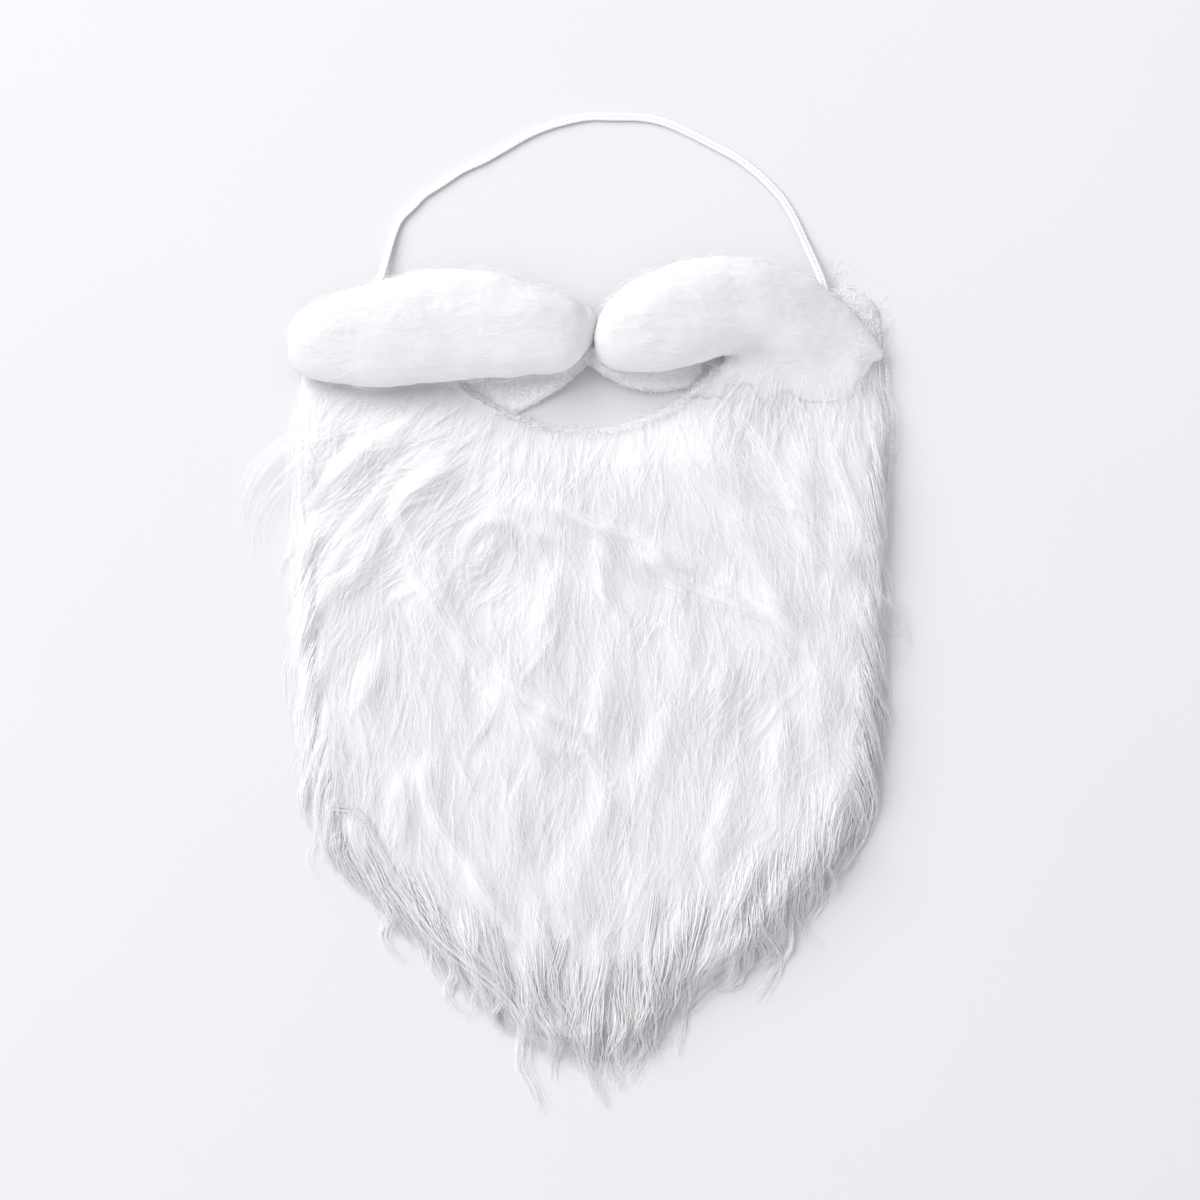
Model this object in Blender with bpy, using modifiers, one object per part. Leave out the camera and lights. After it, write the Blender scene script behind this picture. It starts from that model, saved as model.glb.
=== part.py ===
"""A white fake beard that lies face up: fur cloth, lip band, two moustache rolls and an elastic cord.

Metres, +Z up, +Y towards the moustache, +X to the right as the beard is looked at from above.
The origin is the centre of the beard at the surface that it lies on.
"""

import math
import random
from collections import namedtuple

import bmesh
import bpy
from mathutils import Vector

# Overall sizes
BEARD_WIDTH = 0.253
BEARD_LENGTH = 0.358

# Fur cloth
PILE_HEIGHT = 0.0125
RIM_HEIGHT = 0.0045
RIM_REACH = 0.024
EAR_HEIGHT = 0.0036
MOUTH_WIDTH = 0.0975
MOUTH_DROP = 0.0190
MOUTH_EDGE_HEIGHT = 0.0030
MOUTH_FADE = 0.022

# Locks of fur
LOCK_LENGTH = 0.050
LOCK_WIDTH = 0.0105
LOCK_THICKNESS = 0.0048
FRINGE_LENGTH = 0.044
SIDE_OVERHANG = 0.002
END_OVERHANG = 0.010

# Moustache
ROLL_WIDTH = 0.048
ROLL_HEIGHT = 0.0245
ROLL_GAP = 0.0014
LIP_LENGTH = 0.125
LIP_THICKNESS = 0.0010
LIP_LIFT = 0.0030

# Elastic cord
CORD_DIAMETER = 0.0033

# Gap between neighbouring pieces
CLEARANCE = 0.0003

# Places that follow from the sizes
TOP_Y = BEARD_LENGTH / 2
MEET_X = 0.0235 * BEARD_WIDTH
MOUTH_X = 0.010 * BEARD_WIDTH
MOUTH_Y = TOP_Y - 1.10 * ROLL_WIDTH
ROLL_LEFT_END_X = -0.475 * BEARD_WIDTH
ROLL_RIGHT_END_X = 0.503 * BEARD_WIDTH
SEAT_Z = EAR_HEIGHT - CLEARANCE
LOCK_SIDES = 5
LOCK_POINTS = 6

# The fur cloth from top to tip: shares of the beard's length down from the moustache's top edge,
# of its width left and right of the middle, and of the pile's height
FurRow = namedtuple("FurRow", "down left right pile")
FUR_ROWS = (
    FurRow(0.036, 0.310, 0.440, 0.00),
    FurRow(0.055, 0.395, 0.490, 0.00),
    FurRow(0.100, 0.445, 0.502, 0.00),
    FurRow(0.150, 0.458, 0.506, 0.25),
    FurRow(0.200, 0.463, 0.515, 0.85),
    FurRow(0.260, 0.463, 0.508, 1.00),
    FurRow(0.400, 0.464, 0.499, 1.00),
    FurRow(0.500, 0.461, 0.492, 1.00),
    FurRow(0.600, 0.440, 0.482, 1.00),
    FurRow(0.680, 0.405, 0.445, 0.95),
    FurRow(0.750, 0.320, 0.365, 0.90),
    FurRow(0.820, 0.222, 0.268, 0.80),
    FurRow(0.870, 0.135, 0.165, 0.65),
    FurRow(0.920, 0.050, 0.085, 0.45),
)
FUR_ROW_COUNT = 26
FUR_COLUMN_COUNT = 18

# Hollows and swells in the pile: place, reach (share of the width) and depth (share of the pile)
Dent = namedtuple("Dent", "across down reach depth")
DENTS = (
    Dent(-0.110, 0.355, 0.060, 0.28),
    Dent(-0.300, 0.450, 0.055, 0.22),
    Dent(0.215, 0.370, 0.050, 0.25),
    Dent(0.350, 0.200, 0.045, 0.22),
    Dent(-0.220, 0.580, 0.060, 0.20),
    Dent(0.080, 0.560, 0.060, 0.20),
    Dent(0.300, 0.600, 0.055, 0.18),
    Dent(-0.220, 0.290, 0.060, -0.16),
    Dent(-0.040, 0.460, 0.070, -0.18),
    Dent(0.160, 0.500, 0.060, -0.14),
)

# Locks that stand out in the fur: root, tip, sideways bow (share of the run) and girth
Lock = namedtuple("Lock", "root_across root_down tip_across tip_down bow girth")
FEATURE_LOCKS = (
    Lock(-0.276, 0.385, -0.140, 0.520, -0.10, 1.15),
    Lock(-0.145, 0.512, 0.060, 0.585, -0.12, 1.15),
    Lock(-0.145, 0.295, 0.090, 0.355, 0.16, 1.00),
    Lock(0.085, 0.340, 0.320, 0.420, 0.05, 1.00),
    Lock(-0.200, 0.250, -0.300, 0.340, -0.22, 1.00),
    Lock(-0.100, 0.315, -0.010, 0.400, 0.35, 0.90),
    Lock(0.190, 0.225, 0.280, 0.330, 0.18, 1.00),
    Lock(-0.290, 0.215, -0.420, 0.300, -0.15, 1.00),
)
LOOSE_LOCKS = (
    Lock(-0.445, 0.205, -0.530, 0.335, -0.26, 0.70),
    Lock(-0.440, 0.240, -0.538, 0.300, -0.20, 0.55),
    Lock(0.470, 0.400, 0.545, 0.455, 0.35, 0.60),
    Lock(-0.385, 0.665, -0.428, 0.755, -0.10, 0.60),
    Lock(-0.310, 0.755, -0.225, 0.872, -0.12, 0.80),
    Lock(0.345, 0.750, 0.288, 0.862, 0.22, 0.80),
    Lock(0.430, 0.680, 0.395, 0.752, 0.15, 0.70),
    Lock(0.185, 0.815, 0.240, 0.856, 0.45, 0.65),
    Lock(-0.075, 0.880, -0.075, 0.997, 0.14, 0.90),
    Lock(0.015, 0.885, 0.034, 0.992, -0.12, 0.90),
    Lock(0.090, 0.870, 0.120, 0.955, 0.16, 0.90),
    Lock(-0.030, 0.885, -0.020, 0.958, -0.18, 0.85),
    Lock(0.055, 0.880, 0.080, 0.972, 0.10, 0.80),
)

# The moustache rolls from the inner end (0) to the outer end (1): upper and lower edge below the
# moustache's top in shares of the roll's width, and height as a share of the roll's height
RollRow = namedtuple("RollRow", "along upper lower height")
LEFT_ROLL_ROWS = (
    RollRow(0.000, 0.570, 0.800, 0.40),
    RollRow(0.020, 0.447, 0.907, 0.66),
    RollRow(0.060, 0.360, 0.980, 0.82),
    RollRow(0.120, 0.295, 1.030, 0.93),
    RollRow(0.250, 0.175, 1.070, 1.00),
    RollRow(0.400, 0.113, 1.077, 1.00),
    RollRow(0.550, 0.122, 1.124, 1.00),
    RollRow(0.700, 0.213, 1.160, 0.96),
    RollRow(0.820, 0.300, 1.133, 0.90),
    RollRow(0.920, 0.404, 1.070, 0.80),
    RollRow(0.980, 0.508, 1.020, 0.66),
    RollRow(1.000, 0.595, 0.930, 0.48),
)
RIGHT_ROLL_ROWS = (
    RollRow(0.000, 0.640, 0.865, 0.40),
    RollRow(0.020, 0.464, 0.964, 0.66),
    RollRow(0.060, 0.356, 0.998, 0.82),
    RollRow(0.120, 0.243, 1.022, 0.93),
    RollRow(0.250, 0.082, 1.015, 1.00),
    RollRow(0.400, 0.004, 0.911, 1.00),
    RollRow(0.520, 0.014, 0.790, 0.92),
    RollRow(0.620, 0.065, 0.830, 0.80),
    RollRow(0.700, 0.130, 0.950, 0.68),
    RollRow(0.800, 0.256, 0.968, 0.50),
    RollRow(0.900, 0.500, 0.933, 0.34),
    RollRow(0.960, 0.680, 0.920, 0.24),
    RollRow(1.000, 0.820, 0.905, 0.14),
)
ROLL_SECTIONS = 16
ROLL_SIDES = 14
ROLL_WIDEST = 0.40

# The lip band from its left end (0) to its right end (1): lower edge below the moustache's top in
# shares of the roll's width, and how far the band rises to the rolls (0 on the surface, 1 at them)
LipRow = namedtuple("LipRow", "along lower rise")
LIP_ROWS = (
    LipRow(0.000, 1.290, 0.0),
    LipRow(0.100, 1.350, 0.0),
    LipRow(0.200, 1.393, 0.0),
    LipRow(0.267, 1.337, 0.1),
    LipRow(0.340, 1.237, 0.5),
    LipRow(0.407, 1.133, 0.9),
    LipRow(0.450, 1.037, 1.0),
    LipRow(0.495, 0.933, 1.0),
    LipRow(0.540, 1.024, 1.0),
    LipRow(0.610, 1.115, 0.9),
    LipRow(0.680, 1.167, 0.6),
    LipRow(0.740, 1.171, 0.3),
    LipRow(0.810, 1.146, 0.1),
    LipRow(0.870, 1.124, 0.0),
    LipRow(1.000, 1.055, 0.0),
)
LIP_UPPER = 0.78
LIP_STRIPS = 3
LIP_MIDDLE = 0.508

# The elastic cord's route, chosen by hand, from its left end to its right end
CORD_ROUTE = (
    (-0.0885, 0.1560, 0.00525),
    (-0.0855, 0.1640, 0.00525),
    (-0.0821, 0.1705, 0.00480),
    (-0.0796, 0.1794, 0.00310),
    (-0.0762, 0.1902, 0.00190),
    (-0.0735, 0.1954, 0.00172),
    (-0.0683, 0.2006, 0.00165),
    (-0.0642, 0.2048, 0.00165),
    (-0.0562, 0.2100, 0.00165),
    (-0.0483, 0.2152, 0.00165),
    (-0.0392, 0.2194, 0.00165),
    (-0.0310, 0.2240, 0.00165),
    (-0.0217, 0.2294, 0.00165),
    (-0.0137, 0.2329, 0.00165),
    (-0.0046, 0.2356, 0.00165),
    (0.0048, 0.2373, 0.00165),
    (0.0154, 0.2372, 0.00165),
    (0.0248, 0.2371, 0.00165),
    (0.0327, 0.2359, 0.00165),
    (0.0394, 0.2337, 0.00165),
    (0.0487, 0.2294, 0.00165),
    (0.0579, 0.2246, 0.00165),
    (0.0658, 0.2204, 0.00165),
    (0.0739, 0.2144, 0.00165),
    (0.0806, 0.2081, 0.00165),
    (0.0858, 0.2020, 0.00172),
    (0.0904, 0.1941, 0.00200),
    (0.0946, 0.1848, 0.00280),
    (0.0985, 0.1761, 0.00420),
    (0.1018, 0.1675, 0.00525),
    (0.1035, 0.1600, 0.00525),
    (0.1050, 0.1530, 0.00525),
)
CORD_POINTS = 36
CORD_BEVEL_RESOLUTION = 2


def clear_scene():
    for thing in list(bpy.data.objects):
        bpy.data.objects.remove(thing, do_unlink=True)


def new_collection(name):
    collection = bpy.data.collections.new(name)
    bpy.context.scene.collection.children.link(collection)
    return collection


def new_material(name, colour, roughness):
    material = bpy.data.materials.new(name)
    material.use_nodes = True
    shader = material.node_tree.nodes["Principled BSDF"]
    shader.inputs["Base Color"].default_value = (*colour, 1.0)
    shader.inputs["Roughness"].default_value = roughness
    shader.inputs["Metallic"].default_value = 0.0
    return material


def link_object(name, data, collection):
    thing = bpy.data.objects.new(name, data)
    collection.objects.link(thing)
    return thing


def hide_as_cutter(thing):
    thing.hide_render = True
    thing.display_type = "WIRE"
    return thing


def add_boolean(target, operation, other, use_self=False):
    modifier = target.modifiers.new(f"{operation.lower()} {other.name}", "BOOLEAN")
    modifier.operation = operation
    modifier.solver = "EXACT"
    modifier.use_self = use_self
    modifier.object = other


def smooth_step(value):
    value = min(1.0, max(0.0, value))
    return value * value * (3.0 - 2.0 * value)


def read_rows(rows, column, at):
    """A column of a table at any place along it, on a smooth curve through the rows."""
    places = [row[0] for row in rows]
    values = [getattr(row, column) for row in rows]
    at = min(places[-1], max(places[0], at))
    last = len(rows) - 1
    low = max(i for i in range(last) if places[i] <= at)

    def slope(i):
        before, after = max(0, i - 1), min(last, i + 1)
        return (values[after] - values[before]) / (places[after] - places[before])

    span = places[low + 1] - places[low]
    t = (at - places[low]) / span
    start, end = values[low], values[low + 1]
    leave, arrive = slope(low) * span, slope(low + 1) * span
    return (
        (2 * t**3 - 3 * t**2 + 1) * start
        + (t**3 - 2 * t**2 + t) * leave
        + (3 * t**2 - 2 * t**3) * end
        + (t**3 - t**2) * arrive
    )


def read_straight(rows, column, at):
    """A column of a table at any place along it, on straight lines between the rows."""
    for low, high in zip(rows, rows[1:]):
        if at <= high[0]:
            share = max(0.0, (at - low[0]) / (high[0] - low[0]))
            return (1 - share) * getattr(low, column) + share * getattr(high, column)
    return getattr(rows[-1], column)


def place(across, down):
    """A point of the beard's plan from its shares across the width and down the length."""
    return Vector((across * BEARD_WIDTH, TOP_Y - down * BEARD_LENGTH))


def mouth_edge_y(x):
    """The height in plan of the cut mouth edge of the fur cloth."""
    share = (x - MOUTH_X) / (MOUTH_WIDTH / 2)
    return MOUTH_Y - MOUTH_DROP * (1 - share * share)


def mouth_distance(x, y):
    """How far a point of the fur lies from the cut mouth edge."""
    half = MOUTH_WIDTH / 2
    if abs(x - MOUTH_X) < half:
        return max(0.0, mouth_edge_y(x) - y)
    return math.hypot(abs(x - MOUTH_X) - half, max(0.0, MOUTH_Y - y))


def fur_top(x, y):
    """The height of the pile above the surface, 0 outside the fur cloth."""
    down = (TOP_Y - y) / BEARD_LENGTH
    if not FUR_ROWS[0].down <= down <= FUR_ROWS[-1].down:
        return 0.0
    left = -read_rows(FUR_ROWS, "left", down) * BEARD_WIDTH
    right = read_rows(FUR_ROWS, "right", down) * BEARD_WIDTH
    tip = (FUR_ROWS[-1].down - down) * BEARD_LENGTH
    inside = min(x - left, right - x, tip)
    if inside < -CLEARANCE:
        return 0.0
    rim = min(1.0, max(0.0, inside) / RIM_REACH)
    swell = math.sqrt(1 - (1 - rim) ** 2)
    pile = PILE_HEIGHT * read_rows(FUR_ROWS, "pile", down)
    for dent in DENTS:
        centre = place(dent.across, dent.down)
        reach = dent.reach * BEARD_WIDTH
        away = math.hypot(x - centre.x, y - centre.y) / reach
        pile -= dent.depth * PILE_HEIGHT * math.exp(-away * away)
    pile = max(EAR_HEIGHT, RIM_HEIGHT + (pile - RIM_HEIGHT) * swell)
    fade = smooth_step(mouth_distance(x, y) / MOUTH_FADE)
    lowest = min(MOUTH_EDGE_HEIGHT, pile) if down > FUR_ROWS[2].down else pile
    return lowest + (pile - lowest) * fade


def seat_z(x):
    """The height of the rolls' undersides, which rise over the middle of the lip band."""
    away = (x - MEET_X) / (0.35 * LIP_LENGTH)
    return SEAT_Z + CLEARANCE + LIP_LIFT * math.exp(-away * away)


def lay_direction(across, down):
    """Which way the hair lies at a place: fanned out at the top, drawn together at the tip."""
    fan_left = -0.95 * smooth_step((-across - 0.02) / 0.22)
    fan_right = 0.35 * smooth_step((across - 0.05) / 0.25)
    top = 1 - smooth_step((down - 0.28) / 0.26)
    gather = -3.6 * across * smooth_step((down - 0.56) / 0.30)
    return Vector(((fan_left + fan_right) * top + gather, -1.0)).normalized()


def make_fur_slab(material, collection):
    """The knitted backing with the body of the pile on it: flat below, rounded at the rim."""
    mesh = bpy.data.meshes.new("beard_fur")
    slab = link_object("beard_fur", mesh, collection)
    shell = bmesh.new()
    bmesh.ops.create_grid(
        shell, x_segments=FUR_COLUMN_COUNT, y_segments=FUR_ROW_COUNT, size=0.5
    )
    first, last = FUR_ROWS[0].down, FUR_ROWS[-1].down
    for vert in shell.verts:
        down = last - (vert.co.y + 0.5) * (last - first)
        left = -read_rows(FUR_ROWS, "left", down) * BEARD_WIDTH
        right = read_rows(FUR_ROWS, "right", down) * BEARD_WIDTH
        across = math.sin(math.pi * vert.co.x)
        x = (left + right) / 2 + across * (right - left) / 2
        vert.co = (x, TOP_Y - down * BEARD_LENGTH, 0.0)
    for face in shell.faces:
        face.normal_flip()
    raised = bmesh.ops.extrude_face_region(shell, geom=list(shell.faces))["geom"]
    for vert in (item for item in raised if isinstance(item, bmesh.types.BMVert)):
        vert.co.z = fur_top(vert.co.x, vert.co.y)
    bmesh.ops.recalc_face_normals(shell, faces=list(shell.faces))
    shell.to_mesh(mesh)
    shell.free()
    mesh.materials.append(material)
    return slab


def surface_lock(root, length, sway, girth):
    """A lock that follows the lay of the hair on top of the pile, from root to tip."""
    points = []
    x, y = root
    step = length / (LOCK_POINTS - 1)
    for i in range(LOCK_POINTS):
        share = i / (LOCK_POINTS - 1)
        rise = -0.45 + 0.95 * math.sin(math.pi * min(1.0, share + 0.12)) ** 0.7
        width = girth * lock_width(share)
        height = fur_top(x, y) + rise * LOCK_THICKNESS * 0.5 * girth
        height = max(height, 0.5 * LOCK_THICKNESS * width + CLEARANCE)
        points.append((Vector((x, y, height)), width))
        heading = lay_direction(x / BEARD_WIDTH, (TOP_Y - y) / BEARD_LENGTH)
        aside = Vector((-heading.y, heading.x)) * sway * math.sin(2 * math.pi * share)
        x += (heading.x + aside.x) * step
        y += (heading.y + aside.y) * step
    return points


def lock_width(share):
    """A lock's width along it: full in the upper middle and drawn out to its tip."""
    return max(0.14, (0.72 + 0.28 * math.sin(math.pi * min(1.0, 1.6 * share))) * (1 - share**2.2))


def drawn_lock(lock):
    """A lock from one row of a table, bowed sideways, on the pile or down past its rim."""
    root = place(lock.root_across, lock.root_down)
    tip = place(lock.tip_across, lock.tip_down)
    run = tip - root
    aside = Vector((-run.y, run.x)) * lock.bow
    start = fur_top(root.x, root.y)
    points = []
    for i in range(LOCK_POINTS):
        share = i / (LOCK_POINTS - 1)
        at = root + run * share + aside * math.sin(math.pi * share)
        width = lock.girth * lock_width(share)
        rise = -0.5 + 1.3 * math.sin(math.pi * min(1.0, share + 0.10))
        height = fur_top(at.x, at.y) + rise * LOCK_THICKNESS * 0.5
        slope = start * (1 - share) ** 1.4
        height = max(height, slope, 0.5 * LOCK_THICKNESS * width + CLEARANCE)
        points.append((Vector((at.x, at.y, height)), width))
    return points


def surface_locks():
    """Staggered rows of locks over the whole pile."""
    chance = random.Random(4)
    locks = []
    row_count, column_count = 8, 5
    for row in range(row_count):
        down = 0.215 + 0.080 * row
        left = -read_rows(FUR_ROWS, "left", down)
        right = read_rows(FUR_ROWS, "right", down)
        stagger = 0.5 * (row % 2)
        for column in range(column_count):
            share = (column + 0.35 + stagger + chance.uniform(-0.12, 0.12)) / (column_count + 0.3)
            across = left + (right - left) * share
            root = place(across, down + chance.uniform(-0.015, 0.015))
            length = LOCK_LENGTH * chance.uniform(0.8, 1.15)
            if mouth_distance(root.x, root.y) > 0.6 * MOUTH_FADE:
                locks.append(
                    surface_lock(root, length, chance.uniform(-0.35, 0.35), chance.uniform(0.85, 1.1))
                )
    return locks


def rim_lock(side, down, overhang, chance):
    """A lock that starts on the pile inside the rim and lies down over it to the surface."""
    column = "left" if side < 0 else "right"
    length = FRINGE_LENGTH * chance.uniform(0.75, 1.1)
    tip_down = min(FUR_ROWS[-1].down, down + length / BEARD_LENGTH)
    inset = 0.5 * RIM_REACH / BEARD_WIDTH
    root_across = side * (read_rows(FUR_ROWS, column, down) - inset)
    tip_across = side * (read_rows(FUR_ROWS, column, tip_down) + overhang / BEARD_WIDTH)
    bow = chance.uniform(-0.10, 0.10)
    return drawn_lock(Lock(root_across, down, tip_across, tip_down, bow, chance.uniform(0.75, 1.0)))


def rim_locks():
    """Locks along both sides and round the tapering lower end."""
    chance = random.Random(9)
    locks = []
    for side in (-1, 1):
        for i in range(5):
            locks.append(rim_lock(side, 0.22 + 0.082 * i, SIDE_OVERHANG, chance))
        for i in range(8):
            overhang = END_OVERHANG * chance.uniform(0.3, 1.0)
            locks.append(rim_lock(side, 0.60 + 0.038 * i, overhang, chance))
    return locks


def make_locks(cutters):
    """All locks as one curve with a lens-shaped section, made a mesh that the pile is joined to."""
    profile_curve = bpy.data.curves.new("lock_section", "CURVE")
    outline = profile_curve.splines.new("POLY")
    outline.points.add(LOCK_SIDES - 1)
    outline.use_cyclic_u = True
    for i, point in enumerate(outline.points):
        angle = 2 * math.pi * (i / LOCK_SIDES + 0.25)
        x = 0.5 * LOCK_WIDTH * math.cos(angle)
        y = 0.5 * LOCK_THICKNESS * math.sin(angle)
        point.co = (x, y, 0.0, 1.0)
    profile = hide_as_cutter(link_object("lock_section", profile_curve, cutters))

    curve = bpy.data.curves.new("locks", "CURVE")
    curve.dimensions = "3D"
    curve.twist_mode = "Z_UP"
    curve.bevel_mode = "OBJECT"
    curve.bevel_object = profile
    curve.use_fill_caps = True
    drawn = [drawn_lock(lock) for lock in FEATURE_LOCKS + LOOSE_LOCKS]
    for points in surface_locks() + rim_locks() + drawn:
        spline = curve.splines.new("POLY")
        spline.points.add(len(points) - 1)
        for target, (at, width) in zip(spline.points, points):
            target.co = (*at, 1.0)
            target.radius = width
    return mesh_of_curve(link_object("locks_curve", curve, cutters), "locks", cutters)


def mesh_of_curve(curve_object, name, collection):
    """A mesh object in place of a curve object, with its end caps welded on."""
    bpy.context.view_layer.update()
    evaluated = curve_object.evaluated_get(bpy.context.evaluated_depsgraph_get())
    mesh = bpy.data.meshes.new_from_object(evaluated)
    shell = bmesh.new()
    shell.from_mesh(mesh)
    bmesh.ops.remove_doubles(shell, verts=list(shell.verts), dist=0.000001)
    bmesh.ops.recalc_face_normals(shell, faces=list(shell.faces))
    shell.to_mesh(mesh)
    shell.free()
    made = link_object(name, mesh, collection)
    made.matrix_world = curve_object.matrix_world
    bpy.data.objects.remove(curve_object, do_unlink=True)
    return hide_as_cutter(made)


def signed_volume(faces):
    """Six times the volume that triangles close, below zero where they face inwards."""
    return sum(
        face.verts[0].co.dot(face.verts[1].co.cross(face.verts[2].co)) for face in faces
    )


def touching_faces(start, seen):
    """The faces joined to a face by edges, each marked as seen."""
    group, waiting = [], [start]
    seen.add(start)
    while waiting:
        face = waiting.pop()
        group.append(face)
        for edge in face.edges:
            for neighbour in edge.link_faces:
                if neighbour not in seen:
                    seen.add(neighbour)
                    waiting.append(neighbour)
    return group


def fuse_locks(slab, locks):
    """The locks joined to the pile in one body, with the pockets that they close over it filled."""
    add_boolean(slab, "UNION", locks, use_self=True)
    bpy.context.view_layer.update()
    evaluated = slab.evaluated_get(bpy.context.evaluated_depsgraph_get())
    fused = bpy.data.meshes.new_from_object(evaluated)
    slab.modifiers.clear()
    shell = bmesh.new()
    shell.from_mesh(fused)
    bmesh.ops.triangulate(shell, faces=list(shell.faces))
    seen = set()
    for face in list(shell.faces):
        if face.is_valid and face not in seen:
            group = touching_faces(face, seen)
            if signed_volume(group) < 0:
                bmesh.ops.delete(shell, geom=group, context="FACES")
    shell.to_mesh(slab.data)
    shell.free()
    bpy.data.meshes.remove(fused)


def make_mouth_cutter(cutters):
    """The space above the cut mouth edge, up between the two ears of the fur cloth."""
    arc_points = 15
    outline = []
    for i in range(arc_points):
        x = MOUTH_X + MOUTH_WIDTH * (i / (arc_points - 1) - 0.5)
        outline.append((x, mouth_edge_y(x)))
    half = 0.62 * MOUTH_WIDTH
    beyond = TOP_Y + ROLL_WIDTH
    outline += [(MOUTH_X + half, beyond), (MOUTH_X - half, beyond)]
    curve = bpy.data.curves.new("mouth_cutter", "CURVE")
    curve.dimensions = "2D"
    curve.fill_mode = "BOTH"
    curve.extrude = 2 * PILE_HEIGHT
    spline = curve.splines.new("POLY")
    spline.points.add(len(outline) - 1)
    spline.use_cyclic_u = True
    for point, (x, y) in zip(spline.points, outline):
        point.co = (x, y, 0.0, 1.0)
    return mesh_of_curve(link_object("mouth_curve", curve, cutters), "mouth_cutter", cutters)


def roll_section(x, upper, lower, height, margin):
    """One closed section of a roll: flattened underneath, rounded on top, grown by a margin."""
    middle, half = (upper + lower) / 2, (upper - lower) / 2 + margin
    seat = seat_z(x)
    widest = seat + ROLL_WIDEST * height
    ring = []
    for i in range(ROLL_SIDES):
        angle = 2 * math.pi * i / ROLL_SIDES
        y = middle + half * math.cos(angle)
        if math.sin(angle) >= 0:
            z = widest + ((1 - ROLL_WIDEST) * height + margin) * math.sin(angle)
        else:
            z = widest - (ROLL_WIDEST * height + margin) * abs(math.sin(angle)) ** 0.55
        ring.append(Vector((x, y, z)))
    return ring


def make_roll(name, rows, start_x, end_x, margin, collection):
    """A puffy roll lofted through its sections, as the real piece or grown to cut its neighbours."""
    shell = bmesh.new()
    rings = []
    way = math.copysign(margin, end_x - start_x)
    for i in range(ROLL_SECTIONS):
        along = 0.5 - 0.5 * math.cos(math.pi * i / (ROLL_SECTIONS - 1))
        x = start_x - way + (end_x - start_x + 2 * way) * along
        upper = TOP_Y - read_rows(rows, "upper", along) * ROLL_WIDTH
        lower = TOP_Y - read_rows(rows, "lower", along) * ROLL_WIDTH
        height = read_rows(rows, "height", along) * ROLL_HEIGHT
        ring = roll_section(x, upper, lower, height, margin)
        rings.append([shell.verts.new(point) for point in ring])
    for low, high in zip(rings, rings[1:]):
        for i in range(ROLL_SIDES):
            j = (i + 1) % ROLL_SIDES
            shell.faces.new((low[i], low[j], high[j], high[i]))
    shell.faces.new(rings[0])
    shell.faces.new(rings[-1])
    bmesh.ops.recalc_face_normals(shell, faces=list(shell.faces))
    mesh = bpy.data.meshes.new(name)
    shell.to_mesh(mesh)
    shell.free()
    mesh.shade_smooth()
    mesh.set_sharp_from_angle(angle=math.radians(60))
    return link_object(name, mesh, collection)


def make_lip_band(name, margin, collection):
    """The thin cloth behind the moustache, lying on the surface at its ends and raised between."""
    shell = bmesh.new()
    bmesh.ops.create_grid(
        shell, x_segments=len(LIP_ROWS) - 1, y_segments=LIP_STRIPS, size=0.5
    )
    columns = len(LIP_ROWS) - 1
    for vert in shell.verts:
        row = LIP_ROWS[round((vert.co.x + 0.5) * columns)]
        x = MEET_X + (row.along - LIP_MIDDLE) * (LIP_LENGTH + 2 * margin)
        upper = TOP_Y - LIP_UPPER * ROLL_WIDTH + margin
        lower = TOP_Y - row.lower * ROLL_WIDTH - margin
        top = seat_z(x) - CLEARANCE
        middle = LIP_THICKNESS / 2
        z = middle + (top - LIP_THICKNESS) * row.rise
        vert.co = (x, lower + (vert.co.y + 0.5) * (upper - lower), z)
    mesh = bpy.data.meshes.new(name)
    shell.to_mesh(mesh)
    shell.free()
    band = link_object(name, mesh, collection)
    thickness = band.modifiers.new("cloth", "SOLIDIFY")
    thickness.thickness = LIP_THICKNESS + 2 * margin
    thickness.offset = 0.0
    thickness.use_even_offset = True
    return band


def cord_points():
    """The cord's route read at even steps from a smooth curve through its own points."""
    route = [Vector(point) for point in CORD_ROUTE]
    fine = []
    for i in range(len(route) - 1):
        before = route[max(0, i - 1)]
        after = route[min(len(route) - 1, i + 2)]
        start, end = route[i], route[i + 1]
        for step in range(8):
            t = step / 8
            fine.append(
                0.5
                * (
                    2 * start
                    + (end - before) * t
                    + (2 * before - 5 * start + 4 * end - after) * t * t
                    + (3 * start - before - 3 * end + after) * t**3
                )
            )
    fine.append(route[-1])
    lengths = [0.0]
    for low, high in zip(fine, fine[1:]):
        lengths.append(lengths[-1] + (high - low).length)
    points = []
    for i in range(CORD_POINTS):
        wanted = lengths[-1] * i / (CORD_POINTS - 1)
        k = max(0, min(len(fine) - 2, sum(1 for length in lengths if length < wanted) - 1))
        share = (wanted - lengths[k]) / (lengths[k + 1] - lengths[k])
        points.append(fine[k].lerp(fine[k + 1], share))
    return points


def make_cord_curve(name, radius, collection):
    curve = bpy.data.curves.new(name, "CURVE")
    curve.dimensions = "3D"
    curve.bevel_depth = radius
    curve.bevel_resolution = CORD_BEVEL_RESOLUTION
    curve.use_fill_caps = True
    spline = curve.splines.new("POLY")
    points = cord_points()
    spline.points.add(len(points) - 1)
    for target, at in zip(spline.points, points):
        target.co = (*at, 1.0)
    return link_object(name, curve, collection)


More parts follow.
